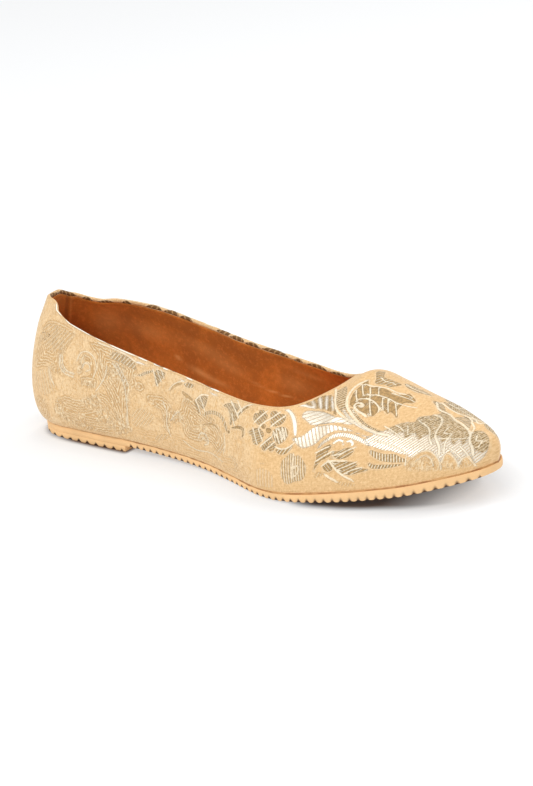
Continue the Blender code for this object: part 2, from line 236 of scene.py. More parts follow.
def sole_top(x):
    """Height of the side that the upper stands on."""
    return sole_bottom(x) + along(THICKNESS, "t", x)


def foot_line(x):
    """Where the upper stands: just above the outsole."""
    return sole_top(np.maximum(x, 0)) + FIT


def station(w):
    """x of a station; behind the heel centre w is the arc round the back of the heel."""
    w = np.asarray(w, float)
    return np.where(w < 0, HEEL_BACK * np.sin(np.maximum(w, -HEEL_ARC) / HEEL_BACK), w)


def own_x(side, x):
    """x at which the tables are read: behind the heel centre it follows the turned seat."""
    return np.where(x < 0, -HEEL_BACK * np.cos(heel_fan(side, np.minimum(x, 0))[1]), x)


def crest_height(side, x):
    """Height of the crest over the foot line, rounded down to nothing at the nose."""
    u = np.clip((x - NOSE["start"]) / (CLOTH_TIP - NOSE["start"]), 0, 1)
    rise = along(UPPER, "crest", own_x(side, x)) - foot_line(x)
    return rise * (1 - u**NOSE["spread"])**(1 / NOSE["full"])


def collar_share(side, x):
    """Section parameter of the collar edge; 1 in front of the throat."""
    at = own_x(side, x)
    lower = ROLL["lower"] * (1 - ramp(x, ROLL["fade_from"], THROAT))
    rise = along(COLLAR, side, np.minimum(at, THROAT)) - lower - foot_line(x)
    full = along(UPPER, "foot_full", at)
    level = np.clip(rise / (along(UPPER, "crest", at) - foot_line(x)), 0, 1)
    return np.where(x >= THROAT, 1.0, np.arcsin(level**(full / 2)) * 2 / np.pi)


def upper_point(side, x, t, inside=False, wall=WALL):
    """Wall at station x and share t: a superellipse quarter from the sole to the crest,
    swollen low down, and laid round a fan of directions behind the heel centre. The inside
    is the same form, smaller by the wall. Near the tip it draws back and the cloth puffs out."""
    sign = SIDES[side]
    x, t = np.broadcast_arrays(np.asarray(x, float), np.asarray(t, float))
    at = own_x(side, x)
    angle, _, reach = heel_fan(side, np.minimum(x, 0))
    fan = x < 0
    shift = np.where(fan, 0, along(UPPER, "shift", at))
    nose_share = np.clip((x - NOSE_FROM) / (CLOTH_TIP - NOSE_FROM), 0, 1)
    sole_nose, cloth_nose = TOE_TIP - NOSE_FROM, CLOTH_TIP - NOSE_FROM
    plan_x = np.where(x > NOSE_FROM, NOSE_FROM + (x - NOSE_FROM) * sole_nose / cloth_nose, x)
    width = np.where(fan, reach, np.abs(edge_y(side, np.maximum(plan_x, 0))))
    fade = np.clip((CLOTH_TIP - x) / 6.0, 0, 1)
    width = width - along(UPPER, "ledge", at) * fade - sign * shift
    close = np.sqrt(1 - nose_share**8)
    rise = crest_height(side, x)
    top, foot = along(UPPER, "top_full", at), along(UPPER, "foot_full", at)
    level = np.sin(np.pi * t / 2)**(2 / foot)
    out = np.cos(np.pi * np.clip(t, 0, 1) / 2)**(2 / top)
    swell = np.sin(np.pi * np.clip(level, 0, 1)**(np.log(0.5) / np.log(BELLY_HEIGHT)))
    reach_out = (width * out + along(UPPER, side + "_belly", at) * swell) * close
    height = rise * level
    if side == "outer":     # the back corner of the collar leans in over the heel
        along_corner = np.clip((at - CORNER["back"]) / CORNER["long"], 0, 1)
        up_corner = ramp(height, CORNER["low"], CORNER["high"])
        reach_out = reach_out - CORNER["lean"] * up_corner * np.sin(np.pi * along_corner)**1.3
    back = np.zeros_like(x)
    if inside:
        reach_out = reach_out * width / (width + wall)
        height = height * rise / (rise + wall)
        back = wall * np.clip((x - NOSE["draw_back"]) / (CLOTH_TIP - NOSE["draw_back"]), 0, 1)
    back = back - NOSE["puff"] * nose_share**2 * np.sin(np.pi * np.clip(height / NOSE["puff_height"], 0, 1))
    px = np.where(fan, -reach_out * np.cos(angle), x - back)
    py = np.where(fan, sign * reach_out * np.sin(angle), shift + sign * reach_out)
    return np.stack([px, py, foot_line(x) + height], -1)


# ---- grids -----------------------------------------------------------------
def by_column(at, s, value):
    """Interpolates value over s down each column, at the rows of at."""
    step = (float(s.max()) + 1.0) * np.arange(s.shape[1])
    flat = np.interp((at + step).T.ravel(), (s + step).T.ravel(), value.T.ravel())
    return flat.reshape(at.shape[1], at.shape[0]).T


def wall_arc(side, w, inside=False, wall=WALL):
    """Shares t down each section, up to the collar or crest, and the arc q to each."""
    x = station(w)
    t = np.linspace(0, 1, 96)[:, None] * collar_share(side, x)[None, :]
    p = upper_point(side, x, t, inside, wall)
    step = np.linalg.norm(np.diff(p, axis=0), axis=-1)
    return t, np.concatenate([np.zeros((1, len(w))), np.cumsum(step, 0)])


def wall_top(side, w, inside=False, wall=WALL):
    """Arc up to the collar or crest at each station."""
    return wall_arc(side, w, inside, wall)[1][-1]


def wall_at(side, w, q, inside=False, wall=WALL):
    """Point of the wall at station w and arc q up from the sole; q has a row per level."""
    t, s = wall_arc(side, w, inside, wall)
    share = by_column(np.clip(q, 0, s[-1]), s, t)
    return upper_point(side, station(w), share, inside, wall)


def stations(step, heel=1.0):
    """Stations round the heel (heel times as far apart), along the quarters and over the
    vamp, close at the throat and at the nose, and the index of the throat."""
    bend = THROAT - THROAT_BEND
    behind = np.concatenate([
        np.linspace(-HEEL_ARC, 0, int(HEEL_ARC / step / heel) + 2)[:-1],
        np.linspace(0, QUARTER_FROM, int(QUARTER_FROM / step / heel) + 1)[:-1],
        np.linspace(QUARTER_FROM, bend, int((bend - QUARTER_FROM) / step) + 1)[:-1],
        THROAT - THROAT_BEND * (1 - slowing(int(THROAT_BEND / step * 1.6))**1.3)])
    vamp = THROAT + (CLOTH_TIP - THROAT) * slowing(int((CLOTH_TIP - THROAT) / step * 1.35))[1:]
    return np.concatenate([behind, vamp]), len(behind) - 1


def foot_stations(heel, middle, nose, tip):
    """Stations along the foot line: so many round the heel, so many on to the nose, and so
    many that close up towards the tip."""
    from_x = NOSE["start"]
    return np.concatenate([np.linspace(-HEEL_ARC, 0, heel)[:-1], np.linspace(0, from_x, middle)[:-1],
                           from_x + (tip - from_x) * slowing(nose)])


def fill(target, field, values, kind=np.float32):
    """Puts an array into a field of a mesh layer."""
    target.foreach_set(field, np.ascontiguousarray(values, kind).reshape(-1))


class Build:
    """Collects grids of points, welds the ones that coincide and makes the mesh."""

    def __init__(self):
        self.points, self.faces, self.values, self.count = [], [], {}, 0

    def add(self, grid, **values):
        """Adds points (rows, columns, 3) with their values and returns their index grid."""
        shape = grid.shape[:2]
        index = np.arange(self.count, self.count + shape[0] * shape[1]).reshape(shape)
        self.points.append(grid.reshape(-1, 3))
        for name in set(self.values) | set(values):
            have = self.values.setdefault(name, [np.zeros(self.count)] if self.count else [])
            have.append(np.broadcast_to(values.get(name, 0.0), shape).astype(float).reshape(-1))
        self.count += index.size
        return index

    def skin(self, index, flip=False):
        """Quads over an index grid."""
        quad = np.stack([index[:-1, :-1], index[:-1, 1:], index[1:, 1:], index[1:, :-1]], -1).reshape(-1, 4)
        self.faces.append(quad[:, ::-1] if flip else quad)

    def strip(self, a, b, flip=False):
        """Quads between two rows of indexes."""
        self.skin(np.stack([a, b]), flip)

    def welded(self):
        """Points without doubles, which of the collected ones they are, and the faces on them:
        quads with a doubled corner become triangles, and those with fewer corners are dropped."""
        points, quads = np.concatenate(self.points), np.concatenate(self.faces)
        _, first, new = np.unique(np.round(points * WELD).astype(np.int64), axis=0,
                                  return_index=True, return_inverse=True)
        quads = new.reshape(-1)[quads]
        doubled = ((quads == np.roll(quads, 1, axis=1)).any(1)
                   | (quads[:, 0] == quads[:, 2]) | (quads[:, 1] == quads[:, 3]))
        tris = np.concatenate([quads[doubled][:, corners] for corners in ([0, 1, 2], [0, 2, 3])])
        tris = tris[(tris != np.roll(tris, 1, axis=1)).all(1)]
        return points[first], first, quads[~doubled], tris

    def make(self, name, material, node=None, slot=None, sharp=None, stage=False):
        """The mesh object. u and v become the cloth map, and the other values attributes."""
        points, first, quads, tris = self.welded()
        corners = np.concatenate([quads.reshape(-1), tris.reshape(-1)])
        total = np.concatenate([np.full(len(quads), 4), np.full(len(tris), 3)])
        mesh = bpy.data.meshes.new(name)
        mesh.vertices.add(len(points))
        fill(mesh.vertices, "co", points * MM)
        mesh.loops.add(len(corners))
        fill(mesh.loops, "vertex_index", corners, np.int32)
        mesh.polygons.add(len(total))
        fill(mesh.polygons, "loop_start", np.cumsum(total) - total, np.int32)
        fill(mesh.polygons, "loop_total", total, np.int32)
        mesh.update(calc_edges=True)
        held = {key: np.concatenate(value)[first] for key, value in self.values.items()}
        if "u" in held:
            pair = np.stack([held.pop("u"), held.pop("v")], -1)
            fill(mesh.uv_layers.new(name="cloth").data, "uv", pair[corners])
        for key, value in held.items():
            fill(mesh.attributes.new(key, "FLOAT", "POINT").data, "value", value)
        mesh.shade_smooth()
        if sharp:
            mesh.set_sharp_from_angle(angle=np.radians(sharp))
        mesh.materials.append(material)
        obj = bpy.data.objects.new(name, mesh)
        bpy.context.scene.collection.objects.link(obj)
        if stage:
            return obj
        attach(obj, "root")
        if node:
            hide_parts(node)
        return obj


# ---- the brocade's figure, charted on the side: w along, q up --------------------
def bend_through(points, ring=False, n=6):
    """A smooth path through a few points (each piece a cubic that leans on its neighbours)."""
    p = np.array(points, float)
    if ring:
        e = np.concatenate([p[-1:], p, p[:2]])
    else:
        e = np.concatenate([2 * p[:1] - p[1:2], p, 2 * p[-1:] - p[-2:-1]])
    t = np.linspace(0, 1, n, endpoint=False)[:, None]
    parts = [0.5 * (2 * b + (c - a) * t + (2 * a - 5 * b + 4 * c - d) * t**2 + (3 * b - a - 3 * c + d) * t**3)
             for a, b, c, d in zip(e, e[1:], e[2:], e[3:])]
    return np.concatenate(parts + [p[:1] if ring else p[-1:]])


def measure(at, path):
    """Distance from points to a path, the side they lie on and how far along it."""
    a, step = path[:-1], np.diff(path, axis=0)
    length = np.maximum(np.linalg.norm(step, axis=1), 1e-9)
    start = np.cumsum(length) - length
    d = at[:, None, :] - a[None]
    k = np.clip((d * step).sum(-1) / length**2, 0, 1)
    gap = d - k[..., None] * step
    dist = np.linalg.norm(gap, axis=-1)
    i = dist.argmin(1)
    r = np.arange(len(at))
    side = np.sign(step[i, 0] * gap[r, i, 1] - step[i, 1] * gap[r, i, 0])
    return dist[r, i], side, start[i] + k[r, i] * length[i], float(length.sum())


def outside(at, loop):
    """Distance to a closed path, negative inside it, where a ray to the right crosses it an
    odd number of times."""
    (x0, y0), (x1, y1) = loop[:-1].T[:, None, :], loop[1:].T[:, None, :]
    x, y = at[:, :1], at[:, 1:]
    crosses = (y0 > y) != (y1 > y)
    cut = x0 + (y - y0) * (x1 - x0) / np.where(y1 == y0, 1e-9, y1 - y0)
    edge = measure(at, loop)[0]
    return np.where((crosses & (x < cut)).sum(1) % 2 == 1, -edge, edge)


class Drawing:
    """Fields of the woven figure: edge (mm outside it), hatch (stripe count) and gap (share
    of a stripe that is ground), tone (1 for the shiny thread), line and reach (signed and plain
    distance from the nearest vein, in half widths), haze (raised scribble) and echo (mm inside
    the scribble's outline)."""

    FIELDS = dict(edge=6.0, hatch=0.0, gap=-0.3, tone=0.0, line=9.0, reach=9.0, haze=0.0, echo=0.0)

    def __init__(self, w, q):
        self.shape = q.shape
        self.at = np.stack([w.reshape(-1), q.reshape(-1)], -1)
        for name, start in self.FIELDS.items():
            setattr(self, name, np.full(len(self.at), start))

    def fields(self):
        """Every field in the grid's shape."""
        return {name: getattr(self, name).reshape(self.shape) for name in self.FIELDS}

    def near(self, path, reach):
        """Indexes of the points near a path."""
        lo, hi = path.min(0) - reach, path.max(0) + reach
        return np.nonzero(((self.at > lo) & (self.at < hi)).all(1))[0]

    def lay(self, pick, edge, tone, angle, pitch, gap, clear):
        """Lays a shape over what is there, with a thin outline of ground (clear wide) round it;
        its stripes run at an angle, a pitch apart."""
        self.edge[pick] = np.maximum(self.edge[pick], clear - edge)
        won = edge < self.edge[pick]
        pick, edge = pick[won], edge[won]
        a, at = np.radians(angle), self.at[pick]
        self.edge[pick], self.tone[pick] = edge, tone
        self.hatch[pick] = (at[:, 1] * np.cos(a) - at[:, 0] * np.sin(a)) / pitch
        self.gap[pick] = gap

    def patch(self, *outline, tone=1.0, angle=0.0, pitch=1.0, gap=-0.3, clear=0.9):
        """A shape inside a smooth closed outline."""
        loop = bend_through(outline, ring=True)
        pick = self.near(loop, 2.0)
        if len(pick):
            self.lay(pick, outside(self.at[pick], loop), tone, angle, pitch, gap, clear)

    def leaf(self, wide, *path, fullest=0.5, blunt=0.6, tone=1.0, angle=0.0, pitch=1.0, gap=-0.3, clear=0.9):
        """A shape round a path, widest at fullest and pointed at both ends."""
        path = bend_through(path)
        pick = self.near(path, wide + 2.0)
        if len(pick):
            dist, _, s, total = measure(self.at[pick], path)
            u = np.clip(s / total, 0, 1)
            half = wide * np.sin(np.pi * u**(np.log(0.5) / np.log(fullest)))**blunt
            self.lay(pick, dist - half, tone, angle, pitch, gap, clear)

    def veins(self, *rows):
        """Raised lines of ground. A row is a half width and the points of a path."""
        for wide, *path in rows:
            path = bend_through(path)
            pick = self.near(path, 2.5)
            if len(pick):
                dist, side, _, _ = measure(self.at[pick], path)
                won = dist / wide < self.reach[pick]
                pick, dist, side = pick[won], dist[won], side[won]
                self.line[pick], self.reach[pick] = dist * side / wide, dist / wide

    def scribbles(self, *rows):
        """Ground raised in fine irregular lines. A row is a strength and the points of a
        smooth closed outline."""
        for strength, *outline in rows:
            loop = bend_through(outline, ring=True)
            pick = self.near(loop, 2.0)
            if len(pick):
                edge = outside(self.at[pick], loop)
                haze = strength * (1 - ramp(edge, -0.9, 0.7))
                won = haze > self.haze[pick]
                self.haze[pick[won]], self.echo[pick[won]] = haze[won], -edge[won]


# How several shapes are woven. In the charts below a later shape lies over an earlier one.
PETAL = dict(tone=0.8, pitch=1.1, gap=0.2, clear=0.6)
# white thread (tone 1.15) is a painted highlight where the metal catches the light
WHITE = dict(tone=1.15, blunt=0.3, clear=0.4)


def draw_heel(d):
    """Leaves and scribble round the heel and low along the side, in the ground's own tone."""
    d.patch((-20.0, 46.6), (-19.0, 51.6), (-12.0, 53.2), (-4.0, 51.6), (3.4, 49.6), (4.2, 46.4),
            (0.0, 42.6), (-6.0, 40.6), (-10.6, 39.4), (-15.0, 42.0), tone=0.34, angle=43, pitch=2.1,
            gap=0.5)
    d.patch((40.2, 11.6), (41.6, 17.6), (46.6, 19.6), (52.4, 18.6), (52.6, 14.6), (47.0, 10.6), (43.0, 9.8),
            tone=0.34, angle=50, pitch=1.4, gap=0.45)
    d.patch((-19.6, 24.0), (-15.2, 30.0), (-8.0, 30.4), (-5.0, 25.6), (-7.6, 20.2), (-14.0, 18.2), tone=0.2,
            angle=-70, pitch=1.8, gap=0.4)
    d.leaf(1.6, (-21.0, 40.4), (-19.4, 45.6), (-14.4, 47.6), tone=0.3, angle=-80, pitch=1.3, gap=0.45)
    d.leaf(1.4, (72.0, 28.8), (75.6, 28.4), (78.6, 26.4), tone=0.45, angle=60, pitch=1.2, gap=0.45)
    d.leaf(1.2, (84.6, 27.0), (88.0, 24.6), (90.6, 24.8), tone=0.45, angle=60, pitch=1.2, gap=0.45)
    d.leaf(1.5, (101.6, 10.4), (104.6, 9.8), (106.8, 6.0), (104.4, 4.2), tone=0.3, angle=58, pitch=1.3,
           gap=0.45)
    d.leaf(1.6, (89.6, 8.0), (93.0, 9.6), (96.6, 12.8), (98.8, 16.8), tone=0.25, angle=50, pitch=1.4,
           gap=0.45)
    d.leaf(1.4, (52.6, 5.4), (57.0, 7.4), (61.4, 9.0), tone=0.34, angle=50, pitch=1.3, gap=0.45)
    d.veins(
        (0.34, (31.0, 38.8), (34.0, 35.2), (36.8, 30.6), (37.8, 25.2), (38.0, 18.0), (37.0, 10.0)),
        (0.34, (33.2, 39.4), (36.6, 35.0), (39.6, 30.0)),
        (0.36, (27.4, 36.8), (26.0, 32.0), (23.0, 27.6), (20.6, 24.8)),
        (0.36, (8.4, 37.6), (10.6, 41.4), (15.0, 42.6), (19.4, 40.4), (21.0, 35.6), (19.0, 30.8)),
        (0.36, (-1.4, 38.2), (-0.6, 34.4), (2.2, 31.8), (6.6, 31.2)),
        (0.32, (-3.2, 39.0), (-2.8, 34.0), (0.6, 30.4), (6.0, 29.4)),
        (0.34, (-9.6, 31.4), (-8.0, 27.4), (-6.0, 24.4)),
        (0.34, (12.0, 34.6), (13.6, 37.0), (16.4, 36.6), (16.8, 34.2), (14.6, 33.4)),
        (0.34, (60.0, 25.6), (61.8, 20.4), (61.0, 14.8), (62.6, 9.4)),
        (0.36, (80.6, 13.0), (83.0, 16.2), (86.4, 15.6), (87.4, 12.4), (84.8, 10.8)),
        (0.3, (83.0, 13.0), (84.6, 14.2), (85.8, 12.8)),
        (0.32, (64.0, 17.6), (67.0, 21.4), (69.6, 22.8)),
        (0.3, (98.6, 20.0), (99.0, 15.0), (97.8, 11.0)),
        (0.3, (70.8, 8.8), (78.0, 6.4), (88.0, 7.8), (96.0, 6.0)))
    d.scribbles(
        (0.8, (-20.0, 30.0), (-21.0, 42.0), (-19.0, 54.0), (-6.0, 54.4), (6.4, 50.4), (3.2, 44.4),
         (0.0, 38.0), (2.0, 31.6), (-4.0, 29.4), (-12.0, 31.4)),
        (1.0, (8.6, 31.4), (9.6, 38.4), (12.4, 41.4), (17.0, 41.2), (19.6, 36.6), (19.0, 31.2),
         (16.4, 31.0), (17.4, 34.6), (15.0, 36.6), (12.4, 34.8), (12.8, 31.4)),
        (0.95, (15.6, 47.6), (22.0, 47.6), (30.0, 45.6), (40.0, 43.0), (45.6, 38.4), (44.6, 33.6),
         (47.4, 30.4), (41.0, 27.4), (39.4, 20.0), (39.0, 10.0), (33.4, 6.0), (30.4, 15.0), (26.6, 24.0),
         (22.6, 29.6), (20.2, 36.0), (20.8, 41.6), (17.4, 44.0)),
        (0.85, (-6.0, 8.0), (-5.4, 16.4), (0.0, 20.2), (7.6, 19.4), (14.0, 21.0), (22.0, 24.6),
         (28.4, 22.4), (34.4, 14.0), (40.6, 7.0), (30.0, 3.0), (10.0, 3.0)),
        (1.0, (11.0, 30.6), (20.4, 31.0), (20.6, 26.2), (12.0, 25.8)),
        (1.0, (42.8, 31.6), (46.4, 33.4), (49.6, 30.6), (47.4, 27.4), (43.4, 28.0)),
        (0.9, (50.0, 27.4), (54.4, 28.4), (60.0, 28.6), (65.4, 24.6), (63.4, 16.8), (63.2, 9.4),
         (58.6, 13.0), (58.2, 20.0), (50.6, 23.4)),
        (0.9, (63.6, 21.6), (69.0, 24.2), (71.6, 30.4), (76.4, 31.4), (80.4, 29.8), (86.0, 27.4),
         (91.0, 25.6), (96.0, 22.0), (98.4, 15.4), (94.6, 9.4), (88.2, 12.6), (80.0, 10.4), (72.0, 11.4),
         (70.0, 17.6), (64.4, 15.8)),
        (0.4, (40.0, 1.6), (41.4, 9.4), (52.0, 8.6), (66.0, 10.6), (88.0, 8.4), (108.0, 9.6), (114.0, 3.0),
         (80.0, 1.4)),
        (0.5, (-46.0, 6.0), (-46.0, 50.0), (-40.0, 51.0), (-33.0, 45.0), (-27.0, 34.0), (-31.0, 20.0),
         (-37.0, 8.0)),
        (0.7, (-20.6, 5.0), (-20.0, 14.6), (-14.4, 17.4), (-10.0, 12.0), (-12.0, 5.0)))


def draw_quarter(d):
    """Sprigs under the collar."""
    d.patch((55.0, 38.9), (57.4, 40.1), (59.8, 40.3), (61.8, 39.6), (60.8, 37.6), (58.8, 35.4),
            (56.6, 32.6), (55.8, 34.6), (55.4, 36.8), angle=-30, **PETAL)
    d.leaf(0.55, (45.0, 35.4), (47.4, 35.9), (50.0, 37.4), (53.0, 38.6), (55.0, 39.6), tone=0.8, angle=84,
           pitch=1.25, gap=0.4)
    d.leaf(0.55, (64.2, 31.2), (66.4, 33.9), (69.4, 35.9), (72.6, 37.1), fullest=0.6, tone=0.6)
    d.patch((73.0, 38.0), (76.0, 38.5), (78.9, 38.0), (78.0, 36.2), (75.4, 35.8), (73.4, 36.4), tone=0.8,
            angle=60, pitch=1.6, gap=0.3)
    d.leaf(0.9, (71.8, 33.0), (74.2, 32.0), (77.4, 31.0), (79.4, 29.8), fullest=0.3, tone=0.62)
    d.leaf(0.7, (79.2, 30.6), (81.0, 27.8), (82.2, 25.0), fullest=0.4, tone=0.66)
    d.patch((81.0, 31.4), (83.2, 33.2), (85.6, 34.1), (87.6, 34.2), (87.0, 31.6), (86.2, 29.6),
            (84.6, 28.0), (82.6, 28.8), angle=-30, **PETAL)
    d.leaf(0.85, (84.8, 25.0), (88.0, 27.0), (91.4, 28.0), (94.8, 27.9), (97.6, 26.4), (99.6, 23.6),
           (100.8, 20.4), tone=0.63, angle=80, pitch=1.3, gap=0.4, blunt=0.3)
    d.leaf(0.45, (84.0, 20.2), (87.0, 21.4), (90.4, 22.3), (93.2, 22.0), (95.8, 20.0), tone=0.6)
    d.patch((97.4, 32.6), (99.0, 34.0), (101.2, 34.7), (102.6, 35.7), (104.8, 35.2), (106.4, 33.8),
            (107.4, 32.0), (106.6, 30.0), (105.2, 27.6), (103.4, 27.2), (103.0, 25.2), (102.0, 25.6),
            (101.9, 28.2), (101.0, 30.6), (99.4, 32.4), angle=-40, **PETAL)
    # the white leaves of tone 1.15 below are a painted highlight on the metal
    d.leaf(0.7, (100.6, 37.5), (103.6, 36.7), (107.4, 37.6), tone=1.15)
    d.leaf(0.7, (106.2, 30.2), (107.7, 32.7), (109.8, 34.8), (112.2, 36.3), fullest=0.4, tone=0.8)
    d.leaf(0.7, (102.8, 23.8), (105.2, 24.6), (107.8, 25.4), (110.2, 25.2), (111.1, 23.4), (110.5, 21.4),
           fullest=0.6, tone=0.8)
    d.leaf(0.7, (101.2, 22.4), (102.0, 21.0), tone=0.8)
    d.leaf(0.5, (43.6, 41.4), (47.4, 41.7), (51.6, 41.4), tone=1.15)
    d.leaf(0.35, (70.0, 38.9), (72.4, 38.2), (75.0, 39.2), tone=1.15)
    d.leaf(0.75, (87.6, 37.7), (91.4, 36.7), (95.6, 37.7), tone=1.15, angle=70, pitch=1.4, gap=0.2)
    d.patch((29.4, 41.6), (31.6, 44.4), (35.6, 44.6), (39.4, 43.2), (43.6, 41.0), (44.4, 38.0),
            (40.6, 38.6), (36.4, 39.8), (32.8, 40.4), tone=0.62, angle=46, pitch=1.55, gap=0.42)
    d.veins(
        (0.36, (54.6, 39.6), (55.8, 36.6), (57.0, 33.0)),
        (0.36, (57.0, 40.4), (58.2, 37.6), (59.2, 35.4)),
        (0.34, (59.4, 40.6), (60.4, 38.6), (61.0, 37.2)),
        (0.3, (64.0, 32.4), (66.2, 34.9), (69.2, 36.9), (73.0, 38.2)),
        (0.34, (80.4, 31.2), (83.0, 33.8), (85.6, 34.9), (88.0, 35.0)),
        (0.4, (82.8, 33.4), (84.4, 30.6), (86.0, 27.4)),
        (0.34, (80.2, 30.8), (82.0, 28.0), (83.2, 25.4)),
        (0.42, (101.6, 35.4), (103.8, 33.0), (106.6, 29.8)),
        (0.38, (104.4, 37.2), (106.4, 34.8), (108.0, 32.6)),
        (0.34, (102.8, 30.0), (103.8, 27.8), (104.8, 25.8)),
        (0.32, (106.4, 31.6), (108.8, 34.6), (111.0, 36.4), (114.6, 37.9)),
        (0.5, (22.0, 47.6), (30.0, 46.2), (38.0, 44.3), (44.0, 41.8)))


def draw_spiral(d):
    """The second flower, low in front, with its leaves and stem."""
    d.leaf(0.5, (157.2, 20.6), (157.6, 22.6), (159.4, 23.9), (161.3, 23.0), (161.8, 21.2), blunt=0.3)
    d.leaf(0.5, (162.4, 22.8), (164.4, 23.1), (165.8, 21.6), (164.8, 20.2), blunt=0.3)
    d.patch((151.0, 17.8), (152.2, 19.8), (154.4, 21.5), (156.3, 22.0), (156.8, 20.4), (155.8, 18.8),
            (157.6, 17.6), (156.0, 16.2), (153.4, 15.0), (151.6, 12.4), (150.6, 10.6), (150.9, 13.6),
            (151.2, 15.8), tone=0.8, angle=27, pitch=1.6, gap=0.18)
    d.patch((157.4, 19.0), (160.0, 18.6), (163.2, 19.8), (165.8, 19.8), (166.8, 18.2), (165.6, 16.4),
            (163.4, 15.4), (160.6, 15.4), (158.8, 16.8), tone=0.8, angle=32, pitch=1.5, gap=0.24)
    d.patch((154.6, 12.6), (156.5, 14.5), (158.2, 13.2), (159.4, 11.5), (157.6, 10.0), (155.5, 10.7),
            tone=0.8, angle=-50, pitch=1.1, gap=0.2)
    d.patch((158.4, 14.4), (161.4, 13.8), (164.6, 13.8), (167.6, 13.2), (170.0, 12.0), (168.2, 11.4),
            (171.0, 10.4), (174.6, 9.2), (170.6, 8.5), (166.8, 7.8), (163.8, 8.6), (161.3, 10.2),
            (159.6, 12.0), tone=0.82, angle=24, pitch=1.5, gap=0.24)
    d.leaf(0.9, (151.0, 7.4), (152.8, 9.0), (155.2, 8.6), tone=0.55, angle=60, pitch=1.2, gap=0.4)
    d.leaf(0.8, (160.4, 5.4), (165.0, 3.6), (170.0, 2.9), tone=0.5, angle=60, pitch=1.2, gap=0.4)
    d.patch((134.9, 14.8), (136.6, 16.8), (138.6, 18.6), (140.4, 17.2), (142.4, 17.6), (144.6, 15.8),
            (146.7, 12.6), (146.7, 9.0), (145.2, 6.6), (142.0, 6.0), (138.0, 4.8), (135.4, 8.0),
            (134.8, 11.6), tone=0.62, angle=-81, pitch=1.15, gap=0.5)
    d.leaf(0.45, (120.8, 16.6), (123.8, 17.2), (126.8, 15.8), (128.8, 12.6), tone=0.5)
    d.leaf(0.4, (123.2, 12.7), (126.6, 13.0), tone=0.5, angle=90, pitch=0.9, gap=0.4)
    d.patch((121.0, 2.6), (121.4, 9.4), (125.6, 10.6), (129.8, 9.0), (131.2, 3.4), (126.0, 2.2), tone=0.22,
            angle=88, pitch=1.7, gap=0.5)
    d.leaf(0.4, (115.0, 8.6), (116.4, 9.6), (117.6, 8.2), (116.4, 6.8), (115.2, 7.6), tone=0.4)
    d.veins(
        (0.4, (151.2, 14.8), (154.2, 16.8), (157.6, 18.8)),
        (0.36, (150.6, 18.6), (153.4, 20.2), (156.2, 21.2)),
        (0.42, (158.6, 17.0), (161.8, 17.6), (164.6, 19.0), (167.0, 19.9)),
        (0.4, (154.4, 12.8), (157.4, 14.6), (160.6, 14.4), (164.4, 14.2)),
        (0.48, (157.2, 14.6), (160.0, 11.2), (163.2, 8.2), (168.0, 5.2)),
        (0.34, (162.0, 10.8), (165.4, 12.0), (168.8, 13.2)),
        (0.32, (164.2, 8.5), (167.4, 9.8), (171.4, 10.6)),
        (0.6, (156.2, 8.4), (158.2, 7.0), (160.8, 5.4)),
        (0.55, (139.9, 17.8), (140.3, 14.4), (140.2, 10.6), (140.5, 7.6)),
        (0.45, (141.2, 12.6), (143.0, 12.8), (143.2, 10.4), (142.2, 8.6)))


